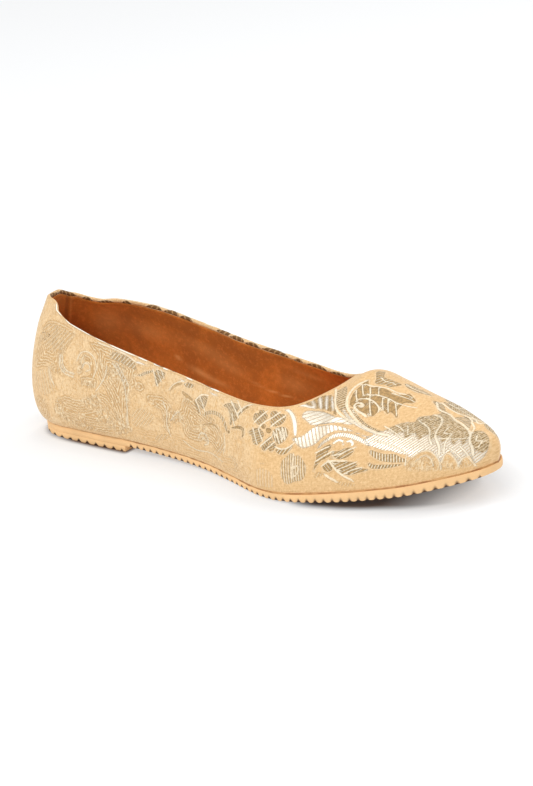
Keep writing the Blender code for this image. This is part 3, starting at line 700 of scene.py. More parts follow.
def draw_toe(d):
    """The large scrolled leaf that wraps the toe; its upper edge and tip are painted duller, as shade where
    the leaf turns away from the light.
    """
    weave = dict(angle=40, pitch=1.25, gap=0.36)
    upper_edge = ((181.0, 29.8), (184.0, 30.9), (187.4, 30.7), (187.9, 33.7), (192.0, 34.3), (194.4, 35.4),
                  (195.4, 36.6), (197.6, 35.0), (199.2, 33.3), (202.2, 29.2), (205.5, 25.6), (208.3, 21.9))
    tip = ((212.6, 19.8), (214.6, 18.4), (216.6, 14.0), (217.2, 9.5))
    d.patch((170.4, 23.6), (173.6, 25.8), (178.0, 27.5), *upper_edge, (210.6, 19.6), *tip, (216.6, 5.6),
            (214.4, 3.4), (212.6, 7.2), (210.6, 7.4), (209.4, 4.4), (208.0, 7.4), (205.8, 11.0),
            (204.0, 10.8), (203.0, 7.4), (201.0, 10.6), (198.2, 13.9), (194.8, 14.3), (191.4, 12.4),
            (189.6, 14.0), (186.4, 15.0), (183.0, 16.6), (179.0, 17.6), (175.0, 19.4), (171.4, 21.0), **weave)
    # the upper edge and the tip again, duller: painted shade where the leaf turns away from the light
    d.patch((177.0, 27.2), *upper_edge, (210.6, 18.4), (209.6, 13.6), (207.8, 17.0), (206.0, 14.6),
            (203.8, 18.6), (201.6, 16.9), (199.6, 20.8), (197.2, 19.0), (195.2, 22.6), (192.2, 20.8),
            (190.0, 24.2), (187.0, 22.4), (184.6, 25.8), (182.0, 24.4), (180.0, 26.4),
            tone=0.87, clear=0, **weave)
    d.patch((211.4, 19.2), *tip, (216.2, 7.6), (214.0, 9.6), (212.8, 11.6), (211.6, 14.6),
            tone=0.87, clear=0, **weave)
    d.patch((200.8, 32.2), (204.6, 32.8), (207.0, 29.0), (209.0, 23.0), (208.6, 22.4), (205.9, 26.6),
            (203.0, 29.8), tone=0.8, angle=40, pitch=1.25, gap=0.4, clear=0.5)
    d.patch((174.2, 18.0), (177.7, 16.4), (181.2, 15.3), (184.4, 15.0), (186.9, 13.5), (189.4, 11.9),
            (190.2, 10.8), (184.6, 11.4), (179.6, 12.7), (175.9, 14.9), (174.0, 16.8), tone=0.8, angle=-78,
            pitch=1.15, gap=0.45)
    d.leaf(0.8, (174.3, 12.1), (176.6, 10.4), (182.0, 9.9), (189.2, 9.8), fullest=0.3, tone=0.76, angle=70,
           pitch=1.3, gap=0.4)
    d.veins(
        (0.32, (176.4, 29.2), (178.2, 28.0), (182.0, 25.3), (185.8, 22.0)),
        (0.28, (180.6, 29.5), (182.8, 28.1), (185.0, 25.9)),
        (0.34, (188.6, 31.8), (189.6, 30.6), (192.0, 28.5), (194.2, 26.0), (195.6, 23.0), (196.4, 20.2),
         (198.0, 16.8)),
        (0.4, (193.0, 34.8), (195.4, 33.2), (196.9, 31.2), (197.9, 27.5), (198.0, 21.7), (199.5, 18.3),
         (201.2, 14.6), (202.0, 11.0)),
        (0.28, (185.6, 28.6), (186.4, 26.4), (187.2, 24.0), (188.6, 24.3), (190.0, 23.8), (190.3, 21.2)),
        (0.32, (201.6, 25.0), (200.9, 22.0), (202.4, 20.9), (204.0, 20.2), (203.2, 18.0), (203.0, 15.2),
         (203.6, 11.0)),
        (0.42, (205.5, 26.1), (208.4, 22.3), (210.8, 18.0), (211.6, 14.0), (212.8, 11.0), (213.4, 7.6)),
        (0.38, (207.4, 28.6), (210.4, 22.8), (211.0, 19.0)),
        (0.26, (200.0, 19.2), (204.6, 17.6), (208.4, 16.6), (211.0, 16.2)),
        (0.3, (213.2, 16.4), (213.6, 13.8), (215.2, 13.0), (214.6, 10.6)),
        (0.26, (174.0, 22.6), (180.0, 20.2), (186.0, 17.2), (190.0, 14.2)),
        (0.34, (192.2, 12.2), (195.0, 14.1), (197.9, 13.8), (201.0, 10.6), (202.8, 7.0), (203.2, 4.6)),
        (0.28, (194.0, 10.6), (196.6, 12.0), (199.2, 9.8), (200.4, 6.8)),
        (0.34, (203.3, 7.5), (204.0, 10.4), (205.6, 10.4), (208.0, 7.2), (209.2, 4.2)),
        (0.34, (209.4, 5.5), (210.4, 7.1), (211.9, 7.2), (213.5, 4.4), (214.6, 2.2)),
        (0.26, (205.0, 13.2), (207.4, 10.6), (209.6, 7.6)),
        (0.26, (208.6, 13.0), (211.0, 9.6), (213.0, 5.8)),
        (0.28, (189.6, 14.4), (189.9, 9.4)))
    d.scribbles(
        (0.8, (179.0, 27.6), (187.0, 30.6), (188.0, 33.6), (193.0, 34.0), (196.0, 36.0), (199.0, 33.4),
         (205.0, 26.0), (210.5, 18.5), (210.0, 14.6), (205.0, 17.0), (200.0, 19.0), (195.0, 21.0),
         (190.0, 22.6), (184.0, 24.0)),
        (0.9, (211.4, 19.4), (216.0, 15.0), (217.4, 8.0), (212.8, 10.0), (211.6, 14.0)),
        (0.6, (189.6, 10.4), (191.0, 11.6), (196.0, 13.6), (199.0, 12.4), (203.0, 7.0), (205.0, 9.8),
         (208.6, 5.0), (211.0, 6.8), (214.0, 3.0), (210.0, 2.6), (200.0, 4.4), (191.0, 7.0)))


def draw_flower(d):
    """The flower below the throat, with its seed head and stem."""
    d.patch((114.8, 32.4), (115.2, 33.9), (116.7, 34.1), (116.8, 35.6), (118.2, 36.4), (119.5, 35.6),
            (121.2, 34.4), (121.0, 32.4), (120.0, 30.4), (118.6, 29.3), (116.9, 29.9), (115.2, 30.9),
            angle=-35, **PETAL)
    d.patch((122.3, 35.0), (122.3, 36.7), (123.7, 37.5), (125.1, 37.0), (126.4, 36.4), (128.2, 36.7),
            (129.6, 35.5), (129.8, 33.6), (128.9, 31.6), (127.2, 30.5), (125.2, 30.2), (124.0, 31.2),
            (123.4, 33.0), angle=-35, **PETAL)
    d.patch((114.1, 25.2), (115.4, 26.3), (117.0, 27.2), (118.8, 27.8), (121.0, 27.1), (122.4, 25.6),
            (122.2, 23.4), (121.4, 21.5), (119.8, 20.5), (117.9, 20.8), (117.0, 22.4), (116.2, 23.8),
            (114.7, 24.2), angle=30, **PETAL)
    d.patch((122.7, 20.8), (123.6, 22.6), (125.0, 24.3), (126.3, 25.5), (127.7, 25.2), (128.7, 23.8),
            (128.4, 22.0), (127.0, 20.2), (125.4, 18.9), (123.7, 18.9), angle=-42, **PETAL)
    d.patch((119.8, 29.3), (121.1, 30.3), (122.3, 29.4), (121.8, 28.2), (120.4, 28.4), tone=0.8)
    d.patch((122.8, 28.6), (124.4, 28.9), (125.7, 27.9), (124.9, 26.6), (123.3, 27.1), tone=0.8)
    d.patch((126.6, 28.4), (128.2, 30.0), (130.6, 30.5), (132.8, 29.6), (134.1, 27.6), (133.9, 25.0),
            (132.6, 23.2), (130.8, 22.4), (128.8, 24.0), (127.0, 26.0), tone=0.8, angle=-58, pitch=1.35,
            gap=0.42)
    d.patch((126.4, 21.8), (127.6, 22.8), (129.2, 22.4), (130.2, 21.0), (129.6, 19.4), (128.0, 18.8),
            (126.6, 20.0), angle=30, **PETAL)
    d.leaf(1.1, (130.4, 19.8), (133.2, 18.9), (136.0, 19.7), (138.2, 22.2), tone=0.8, angle=62, pitch=1.5,
           gap=0.3)
    d.leaf(0.85, (121.6, 40.1), (125.0, 40.1), (129.0, 39.1), (131.8, 37.2), (134.0, 34.6), (135.8, 31.6),
           (137.0, 28.8), (138.2, 26.4), fullest=0.6, blunt=0.3)
    d.veins(
        (0.42, (130.2, 21.0), (133.2, 20.2), (136.2, 21.0), (138.8, 23.6)),
        (0.38, (116.0, 29.9), (117.8, 32.8), (120.0, 36.2)),
        (0.42, (119.2, 28.9), (121.0, 31.4), (123.4, 33.8), (126.0, 37.4)),
        (0.45, (124.6, 30.0), (126.6, 32.8), (129.2, 36.2)),
        (0.36, (116.0, 27.0), (117.8, 24.2), (120.0, 21.0)),
        (0.34, (119.0, 27.4), (120.6, 25.2), (122.4, 23.0)),
        (0.4, (122.2, 20.4), (124.4, 22.8), (126.8, 25.4)),
        (0.36, (125.4, 19.2), (127.4, 21.4), (128.9, 23.0)),
        (0.4, (126.8, 27.6), (129.2, 25.8), (131.0, 23.4)),
        (0.3, (128.0, 29.4), (130.6, 27.6), (132.4, 24.8)),
        (0.3, (130.4, 30.0), (132.4, 27.6), (133.4, 25.4)))


def draw_ribbon(d):
    """Ribbons that fold over the vamp behind the toe."""
    d.patch((137.0, 25.2), (139.4, 26.0), (141.6, 26.8), (143.6, 29.0), (145.4, 30.8), (149.6, 31.8),
            (154.6, 31.2), (159.7, 29.9), (164.0, 28.0), (168.8, 25.7), (172.4, 24.0), (168.6, 25.2),
            (164.4, 27.0), (161.0, 28.0), (157.2, 28.6), (153.8, 27.2), (151.2, 25.2), (149.2, 22.8),
            (146.1, 21.4), (142.9, 21.1), (140.0, 22.8), angle=-62, pitch=1.6, gap=0.26)
    d.patch((137.2, 36.2), (136.6, 38.6), (138.4, 40.0), (143.8, 39.6), (148.7, 38.0), (154.4, 35.4),
            (158.4, 34.6), (162.7, 32.0), (165.4, 30.4), (160.5, 31.3), (156.0, 32.4), (150.2, 32.3),
            (144.2, 32.1), (141.2, 33.6), (139.0, 35.2), angle=22, pitch=2.2, gap=0.16)
    d.patch((134.8, 43.4), (136.6, 46.0), (139.2, 48.6), (141.6, 49.8), (145.4, 49.4), (148.2, 46.4),
            (150.6, 42.4), (153.0, 38.6), (154.2, 36.2), (151.0, 38.4), (148.2, 39.4), (143.7, 41.0),
            (139.9, 41.4), (136.8, 42.2), tone=0.8)
    # the feather's white ribs are a painted highlight on its metal
    d.leaf(0.34, (136.4, 46.6), (138.8, 44.0), (141.0, 41.6), **WHITE)
    d.leaf(0.5, (139.2, 49.0), (141.6, 45.0), (144.2, 40.6), **WHITE)
    d.leaf(0.42, (142.4, 49.6), (144.6, 45.0), (147.4, 39.6), **WHITE)
    d.leaf(0.4, (145.2, 49.0), (147.4, 45.2), (149.6, 41.8), (151.6, 38.4), **WHITE)
    d.leaf(0.5, (131.8, 42.2), (134.6, 42.8), (138.0, 42.2), (141.0, 41.4), **WHITE)
    d.patch((145.7, 51.8), (147.3, 53.8), (149.3, 54.6), (152.6, 50.0), (154.3, 45.4), (156.4, 40.8),
            (159.2, 36.8), (158.6, 35.6), (155.8, 37.8), (151.2, 43.0), (148.2, 47.2), tone=0.85, angle=20,
            pitch=1.6, gap=0.4)
    d.leaf(0.42, (156.2, 44.6), (158.2, 41.0), (161.8, 36.6), (166.0, 32.6), (170.0, 29.6), (174.0, 27.4),
           (178.4, 26.0), tone=0.85, angle=70, gap=0.45, blunt=0.3, clear=0.3)
    d.leaf(0.62, (156.0, 39.4), (158.8, 36.0), (162.6, 32.6), (166.8, 29.8), (171.4, 27.2), (176.0, 25.0),
           blunt=0.3, clear=0.4)
    d.leaf(0.95, (150.8, 20.6), (152.4, 22.8), (154.2, 24.2), (156.4, 25.8), (159.7, 26.4), (164.7, 25.2),
           (168.6, 23.2), (173.4, 20.2), angle=82, pitch=0.95, gap=0.3, blunt=0.3)
    d.veins(
        (0.55, (144.6, 53.4), (146.6, 49.8), (149.2, 44.8), (153.0, 39.2), (158.0, 35.0), (163.0, 31.8)),
        (0.62, (157.8, 57.0), (156.0, 54.6), (154.9, 52.0), (154.7, 48.0), (155.4, 44.6), (156.8, 41.2),
         (160.9, 36.0), (165.5, 31.4), (170.7, 27.9), (175.4, 25.7), (179.0, 24.6)))


def draw_acanthus(d):
    """The acanthus leaf on top of the vamp."""
    d.patch((157.9, 41.8), (156.8, 45.5), (156.5, 49.5), (157.2, 52.5), (157.6, 55.7), (158.1, 57.8),
            (159.8, 54.4), (161.2, 52.4), (163.4, 53.0), (166.7, 52.3), (169.6, 50.8), (171.9, 49.0),
            (175.6, 49.3), (176.7, 50.8), (178.7, 48.8), (181.4, 45.6), (181.0, 43.6), (178.0, 43.4),
            (177.8, 41.4), (177.6, 38.2), (179.4, 34.3), (178.8, 34.0), (177.2, 36.0), (175.3, 37.4),
            (174.6, 36.2), (173.0, 38.0), (171.5, 39.0), (170.3, 40.4), (170.3, 38.2), (169.6, 35.4),
            (167.2, 35.6), (165.8, 37.0), (164.3, 37.0), (162.0, 38.4), (160.2, 40.0), tone=0.8)
    d.patch((158.0, 65.4), (159.6, 68.6), (162.6, 61.4), (166.8, 59.4), (169.8, 58.5), (170.9, 56.8),
            (168.3, 54.1), (165.6, 55.2), (162.1, 55.4), (160.6, 59.5), tone=0.76, angle=60, pitch=1.8,
            gap=0.2)
    d.patch((170.9, 60.5), (173.2, 61.4), (176.4, 60.2), (181.5, 56.4), (184.2, 53.0), (181.0, 53.6),
            (178.4, 53.4), (173.5, 56.4), tone=0.72, angle=-24, pitch=1.7, gap=0.3)
    d.leaf(1.15, (187.6, 47.0), (190.8, 43.8), (193.0, 40.4), (195.0, 37.2), (198.4, 34.8), fullest=0.4,
           tone=0.76, angle=50, pitch=1.3, gap=0.3)
    d.leaf(1.3, (190.6, 48.4), (194.0, 45.4), (197.6, 41.6), (201.0, 38.6), tone=0.72, angle=50, pitch=1.3,
           gap=0.3)
    d.veins(
        (0.34, (160.3, 45.0), (162.4, 45.2), (165.2, 44.4), (167.8, 42.4), (170.0, 39.8), (170.6, 37.6)),
        (0.32, (161.4, 47.6), (163.4, 47.6), (166.4, 47.5), (170.5, 46.2), (175.3, 43.3), (180.4, 41.2),
         (184.0, 40.4)),
        (0.34, (158.6, 54.6), (161.0, 53.6), (163.6, 53.4), (168.1, 52.7), (172.2, 50.6), (175.2, 50.2)),
        (0.44, (160.9, 39.4), (159.8, 41.2), (160.4, 42.6), (162.0, 42.5), (163.4, 41.2), (162.9, 40.3),
         (161.8, 41.0)),
        (0.5, (160.6, 39.7), (162.5, 38.0), (164.5, 36.8), (166.6, 35.2)),
        (0.28, (156.9, 50.2), (158.2, 47.0), (159.8, 43.8)),
        (0.28, (157.5, 54.3), (159.0, 51.0), (160.9, 47.2)),
        (0.32, (161.5, 52.0), (163.2, 48.2), (164.4, 44.6), (166.2, 40.4), (168.3, 35.8)),
        (0.24, (164.6, 52.4), (165.6, 50.2), (166.8, 47.4)),
        (0.26, (168.8, 46.2), (170.2, 42.6), (172.0, 38.8)),
        (0.26, (171.2, 45.4), (172.6, 41.8), (174.4, 37.6)),
        (0.24, (174.6, 43.4), (176.4, 40.0), (178.6, 35.2)),
        (0.26, (171.0, 49.4), (174.6, 48.2), (178.4, 46.6), (181.2, 44.8)),
        (0.22, (173.6, 50.0), (176.8, 49.4), (179.4, 47.6)),
        (0.3, (162.0, 60.4), (164.8, 57.8), (167.8, 57.4), (169.2, 56.4)),
        (0.3, (171.8, 59.6), (176.0, 56.8), (181.0, 55.0)),
        (0.42, (189.4, 45.4), (192.6, 39.4), (196.4, 36.2), (198.8, 34.0), (202.0, 29.7), (205.5, 26.1),
         (208.4, 22.3)),
        (0.38, (190.6, 46.4), (195.4, 41.0), (200.4, 36.4), (204.6, 33.6), (207.6, 29.0)),
        (0.28, (192.6, 47.4), (197.4, 43.0), (202.4, 38.0), (206.4, 33.4), (209.6, 28.0)))


def draw_side(d):
    """The figure on a side, from the heel to the toe."""
    for draw in (draw_heel, draw_quarter, draw_spiral, draw_toe, draw_flower):
        draw(d)


def draw_vamp(d):
    """The figure that runs on over the crest to the other side."""
    draw_ribbon(d)
    draw_acanthus(d)


def draw_facing(d):
    """Dark hatched bits of the figure that fall on the turned-in edge, and white bits on its outside, a
    painted highlight where the rolled edge catches the light. Rows: start, length, distance in from the
    cloth's edge, half width, and the angle of a dark one's stripes."""
    for start, length, low, wide, angle in (
            (-46, 14, 2.6, 1.3, 60), (-29, 6, 2.9, 1.0, 120), (-21, 13, 3.1, 0.9, 60), (-2, 6, 3.0, 1.0, 50),
            (12, 9, 2.5, 1.1, 120), (22, 9, 2.4, 1.2, 60), (31, 8, 2.7, 1.2, 50), (53, 9, 2.0, 1.1, 115),
            (61, 9, 2.5, 1.2, 66), (70, 9, 2.8, 1.0, 60), (80, 15, 2.3, 1.2, 120), (98, 5, 2.6, 0.9, 60),
            (105, 12, 2.4, 1.0, 60), (118, 12, 2.6, 1.0, 60)):
        d.leaf(wide, (start, low + 0.4), (start + length * 0.5, low - 0.3), (start + length, low + 0.3),
               tone=1.5, angle=angle, pitch=2.6, gap=0.30)
    # white bits along the roll: a painted highlight on the rolled edge
    for start, length, low, wide in (
            (-6, 22, 0.9, 0.40), (18, 8, 1.0, 0.28), (28, 16, 0.8, 0.42), (45, 6, 0.9, 0.40),
            (54, 4, 0.9, 0.32), (60, 3, 0.7, 0.45), (74, 4, 0.7, 0.45), (89, 5, 0.7, 0.55),
            (-22, 12, 0.8, 0.30)):
        d.leaf(wide, (start, low), (start + length * 0.5, low - 0.1), (start + length, low),
               tone=1.15, blunt=0.4, clear=0.0)


# ---- finishes --------------------------------------------------------------
class Socket:
    """A shader value that adds its Math nodes when it is used in an expression."""

    def __init__(self, finish, link):
        self.finish, self.link = finish, link

    def _math(self, kind, *values, clamp=False):
        return self.finish.node("ShaderNodeMath", dict(operation=kind, use_clamp=clamp), *values)

    def __add__(self, o): return self._math("ADD", self, o)
    def __radd__(self, o): return self._math("ADD", o, self)
    def __sub__(self, o): return self._math("SUBTRACT", self, o)
    def __rsub__(self, o): return self._math("SUBTRACT", o, self)
    def __mul__(self, o): return self._math("MULTIPLY", self, o)
    def abs(self): return self._math("ABSOLUTE", self)
    def sin(self): return self._math("SINE", self)
    def fract(self): return self._math("FRACT", self)
    def high(self, o): return self._math("MAXIMUM", self, o)
    def clip(self): return self._math("ADD", self, 0.0, clamp=True)

    def step(self, a, b):
        """0 at a and 1 at b, eased; a may be above b."""
        settings = dict(interpolation_type="SMOOTHSTEP")
        return self.finish.node("ShaderNodeMapRange", settings, self, a, b, 0.0, 1.0)


class Finish:
    """A material whose nodes are added by expressions."""

    def __init__(self, name, **fixed):
        self.material = bpy.data.materials.new(name)
        self.material.use_nodes = True
        self.nodes, self.links = self.material.node_tree.nodes, self.material.node_tree.links
        self.shader = self.nodes["Principled BSDF"]
        self.feed(**fixed)

    def connect(self, socket, value):
        """Links a value to a node's socket, or sets it; three numbers are a colour where it has four."""
        if isinstance(value, Socket):
            self.links.new(value.link, socket)
        elif isinstance(value, tuple) and len(socket.default_value) == 4:
            socket.default_value = (*value, 1.0)
        else:
            socket.default_value = value

    def node(self, kind, settings, *values, out=0, **named):
        """A node of a kind with its settings, then its sockets in order or by name."""
        node = self.nodes.new(kind)
        for key, value in settings.items():
            setattr(node, key, value)
        for socket, value in zip(node.inputs, values):
            self.connect(socket, value)
        for key, value in named.items():
            self.connect(node.inputs[key.replace("_", " ")], value)
        return Socket(self, node.outputs[out])

    def place(self):
        """Object coordinates, in metres."""
        return self.node("ShaderNodeTexCoord", {}, out=3)

    def cloth(self):
        """The piece's own map in millimetres, and the v on it."""
        uv = self.node("ShaderNodeUVMap", dict(uv_map="cloth"))
        return uv, self.node("ShaderNodeSeparateXYZ", {}, uv, out=1)

    def stretch(self, where, scale):
        """A pattern's place, stretched."""
        return self.node("ShaderNodeMapping", {}, Vector=where, Scale=scale)

    def field(self, name):
        """An attribute of the mesh."""
        return self.node("ShaderNodeAttribute", dict(attribute_name=name), out=2)

    def noise(self, where, scale, detail=2.0, rough=0.5, warp=0.0):
        """Cloudy noise from 0 to 1."""
        return self.node("ShaderNodeTexNoise", {}, Vector=where, Scale=scale, Detail=detail,
                         Roughness=rough, Distortion=warp)

    def mix(self, share, a, b):
        """Colour a where share is 0 and b where it is 1."""
        node = self.nodes.new("ShaderNodeMix")
        node.data_type = "RGBA"
        for place, value in ((0, share), (6, a), (7, b)):
            self.connect(node.inputs[place], value)
        return Socket(self, node.outputs[2])

    def feed(self, **sockets):
        """Values of the surface itself."""
        for key, value in sockets.items():
            self.connect(self.shader.inputs[key.replace("_", " ")], value)

    def bump(self, height, distance):
        """Relief: height is 0 to 1 and distance is what 1 stands for, in millimetres."""
        bump = self.node("ShaderNodeBump", {}, Strength=1.0, Distance=distance * MM, Height=height)
        self.feed(Normal=bump)

    def layers(self, colour, *over):
        """Colours laid over one another in turn, each by its share."""
        for share, layer in over:
            colour = self.mix(share, colour, layer)
        return colour


def tint(colour, *by):
    """A colour times one number, or one for each of its parts, no brighter than 1."""
    return tuple(min(1.0, c * k) for c, k in zip(colour, by * 3 if len(by) == 1 else by))


def brocade_finish(sizes):
    """Satin ground with a figure of flat metallic threads, dull or shiny: its outlines, veins
    and stripes are raised ground, and scribble is ground raised in fine irregular lines."""
    f = Finish("brocade", Roughness=0.55, Sheen_Weight=0.22, Specular_IOR_Level=0.3,
               Sheen_Roughness=0.4, Sheen_Tint=(1.0, 0.92, 0.78), Coat_Roughness=0.26, Coat_IOR=2.0)
    uv, v = f.cloth()
    edge, hatch, gap, tone, line, reach, haze, echo = (f.field(name) for name in Drawing.FIELDS)
    base, thread = tuple(sizes.ground), tuple(sizes.thread)
    wander = f.noise(uv, 0.07, 3.0, 0.55)
    grain = f.noise(uv, 1.9, 2.0, 0.65)
    speck = f.noise(f.stretch(uv, (1.0, 0.8, 1.0)), 0.85, 3.0, 0.75)
    # where the figure is, where it is metal and where the metal is shiny
    figure = edge.step(0.10, -0.10)
    bold = tone.step(0.50, 0.70)
    shiny = (tone + (speck - 0.5) * 0.5).step(0.86, 0.98)
    # raised ground: stripes, rims, veins and the scribble's lines, which are bands of a
    # wandering noise or follow the scribble's outline
    stripe = ((hatch.fract() - 0.5).abs() * 2).step(gap + 0.12, gap - 0.12) * figure
    rim = edge.step(0.0, 0.18) * edge.step(0.80, 0.45) * bold
    vein = line.abs().step(1.2, 0.7) * reach.step(2.6, 2.0)
    worm = f.noise(f.stretch(uv, (0.75, 0.34, 1.0)), 1.2, 1.0, 0.4, 1.2)
    band = (worm - 0.5).abs()
    ripple = ((echo * 0.74 + worm * 1.1).fract() - 0.5).abs()
    flow = wander.step(0.44, 0.54)
    curl = band.step(0.075, 0.02) * (1 - flow) + ripple.step(0.17, 0.08) * flow
    hollow = band.step(0.09, 0.17) * (1 - flow) + ripple.step(0.26, 0.40) * flow
    squiggle = curl * haze * figure * bold * 0.8
    threads = stripe.high(vein).high(squiggle)
    raised = threads.high(rim * 0.5)
    weft = (v * (6.2832 / sizes.twill) + wander * 14.0).sin() * 0.5 + 0.5
    cover = haze * (1 - figure * bold)
    mesh = speck.step(0.40, 0.60)
    dull = f.mix(mesh, tint(sizes.dull, 0.76), tint(sizes.dull, 1.25))
    metal = f.mix(grain.step(0.35, 0.75) * 0.35, thread, tint(thread, 0.7))
    weak = f.mix(mesh, tint(base, 0.82, 0.76, 0.64), tint(base, 1.0, 0.97, 0.90))
    # painted shade: a dark line just inside the figure's outline and on both sides of its veins
    beside = line.abs().step(2.2, 1.3) * line.abs().step(0.9, 1.2) * figure
    shade = (edge.step(-0.60, -0.15) * edge.step(0.15, -0.05)).high(beside)
    # raised threads are cream, golden on the gilt parts and tan on the shiny metal, where the tan is painted
    # shade between the bright threads
    gilt = tone.step(0.83, 0.86) * tone.step(0.95, 0.90) * (1 - vein)
    crest = f.layers((1.0, 0.87, 0.65), (gilt * 0.75, (0.86, 0.66, 0.38)),
                     (shiny * figure * (1 - vein) * (1 - gilt), tint(base, 0.80, 0.74, 0.66)))
    strength = 0.30 + bold.high(vein * 0.7) * (0.60 - shiny * 0.25)
    worn = 0.60 + speck.step(0.36, 0.56) * 0.40
    colour = f.layers(
        base,
        # the ground: cloudy, ribbed and specked, with dark hollows and light curls in scribble
        (wander.step(0.35, 0.68), tint(base, 0.95, 0.94, 0.92)),
        (weft * grain.step(0.3, 0.7) * 0.30, tint(base, 0.78, 0.70, 0.60)),
        (speck.step(0.50, 0.34) * 0.55, tint(base, 0.74, 0.66, 0.56)),
        (speck.step(0.50, 0.66) * 0.55, tint(base, 1.2, 1.3, 1.5)),
        (cover * hollow * 0.70, tint(base, 0.62, 0.54, 0.44)),
        (cover * curl * 0.85, (1.0, 0.84, 0.58)),
        # the figure, with painted shade along its outline and beside its veins; tones above 1 are plain white
        # threads, a painted highlight, and dark brown threads
        (figure * bold.high(tone * 1.4).clip(), f.mix(bold, weak, f.mix(shiny, dull, metal))),
        (shade * bold * 0.40, (0.30, 0.19, 0.08)),
        (figure * tone.step(1.05, 1.12), (1.0, 0.93, 0.80)),
        (figure * tone.step(1.25, 1.40), (0.19, 0.085, 0.018)),
        (threads.high(rim * 0.2) * strength * worn, crest))
    metallic = figure * bold * (1 - raised) * tone.step(1.12, 1.05) * shiny
    f.feed(Base_Color=colour, Metallic=metallic * 0.35, Roughness=0.55 - metallic * 0.20,
           Coat_Weight=metallic)
    scribbled = haze * (curl * 0.65 - hollow * 0.35)
    f.bump(raised * 0.75 + (1 - figure) * 0.30 + scribbled + grain * 0.20 + weft * 0.08 + speck * 0.35, 0.30)
    return f.material


def suede_finish(name, sizes, lighter=0.0):
    """Short nap: blotches where it lies both ways, a fine grain, and the light rubs and the darker places of
    the mark attribute (below 0 is darker), some of them painted shade."""
    f = Finish(name, Roughness=0.95, Sheen_Weight=0.12, Sheen_Roughness=0.5, Sheen_Tint=(1.0, 0.40, 0.12))
    at = f.place()
    blotch = f.noise(at, 42.0, 3.0, 0.6, 0.4)
    cloud = f.noise(at, 14.0, 2.0, 0.5)
    nap = f.noise(at, 1900.0, 2.0, 0.6)
    pile = f.noise(at, 480.0, 3.0, 0.7)
    mark = f.field("mark")
    base = tint(sizes.suede, 1 + lighter)
    f.feed(Base_Color=f.layers(
        tint(base, 0.72),
        (blotch.step(0.38, 0.66), base),
        (cloud.step(0.45, 0.75) * 0.45, tint(base, 1.45)),
        (nap.step(0.35, 0.75) * 0.22, tint(base, 0.55)),
        (pile.step(0.50, 0.34) * 0.4, tint(base, 0.70)),
        (pile.step(0.50, 0.66) * 0.30, tuple(min(1.0, c * 1.3 + 0.03) for c in base)),
        (mark.clip() * (0.4 + blotch * 0.8), (0.86, 0.43, 0.14)),
        ((0 - mark).clip() * 0.8, tint(base, 0.35))))
    f.bump(nap * 0.6 + blotch * 0.4, 0.15)
    return f.material


def crepe_finish(name, sizes):
    """Cut crepe rubber: fine crumb, faint clouds, and painted shade, near black, where the groove attribute
    is deep.
    """
    f = Finish(name, Roughness=0.72)
    at = f.place()
    crumb = f.noise(at, 1300.0, 3.0, 0.65)
    cloud = f.noise(at, 60.0, 3.0, 0.6)
    f.feed(Base_Color=f.layers(
        tuple(sizes.crepe),
        (cloud.step(0.35, 0.7), tint(sizes.crepe, 0.9)),
        (crumb.step(0.5, 0.8) * 0.3, tint(sizes.crepe, 0.72)),
        (f.field("groove").step(0.04, 0.45), (0.07, 0.026, 0.009))))
    f.bump(crumb * 0.7 + cloud * 0.3, 0.14)
    return f.material


def cement_finish():
    """Dried brown cement in patches."""
    f = Finish("cement", Roughness=0.45)
    patch = f.noise(f.place(), 120.0, 2.0, 0.6)
    f.feed(Base_Color=f.mix(patch.step(0.35, 0.7), (0.40, 0.16, 0.04), (0.66, 0.36, 0.13)))
    f.bump(patch, 0.2)
    return f.material


# ---- pieces ----------------------------------------------------------------
def facing_depth(w):
    """How far the cloth is turned in at each station: shallower at the throat, and uneven."""
    taper = 1 - ramp(w, FACING["taper_from"], THROAT - 1)
    depth = FACING["throat"] + (FACING["depth"] - FACING["throat"]) * taper
    return depth * (1 + 0.12 * np.sin(w * 0.11) + 0.05 * np.sin(w * 0.31 + 1))


def figure_on(side, at, q, tops):
    """Fields of the outer cloth: the side's figure with the vamp's laid over it. On the inner
    side the vamp's figure is read past the crest, so that it runs on from the outer side. A
    faint scribble lies over the heel and quarters, and the collar has a plain hem."""
    sides = Drawing(at, q)
    draw_side(sides)
    vamp = Drawing(at, q if side == "outer" else tops["outer"] + tops["inner"] - q)
    draw_vamp(vamp)
    fields, over = sides.fields(), vamp.fields()
    for names, by in ((("hatch", "gap", "tone", "edge"), "edge"), (("line", "reach"), "reach")):
        won = over[by] < fields[by]
        for name in names:
            fields[name] = np.where(won, over[name], fields[name])
    fields["haze"] = np.maximum(fields["haze"], HAZE["share"] * (1 - ramp(at, *HAZE["fade"])))
    below = np.where(at <= THROAT, tops[side] - q, 60.0)
    fields["edge"] = np.maximum(fields["edge"], HEM - below)
    return fields


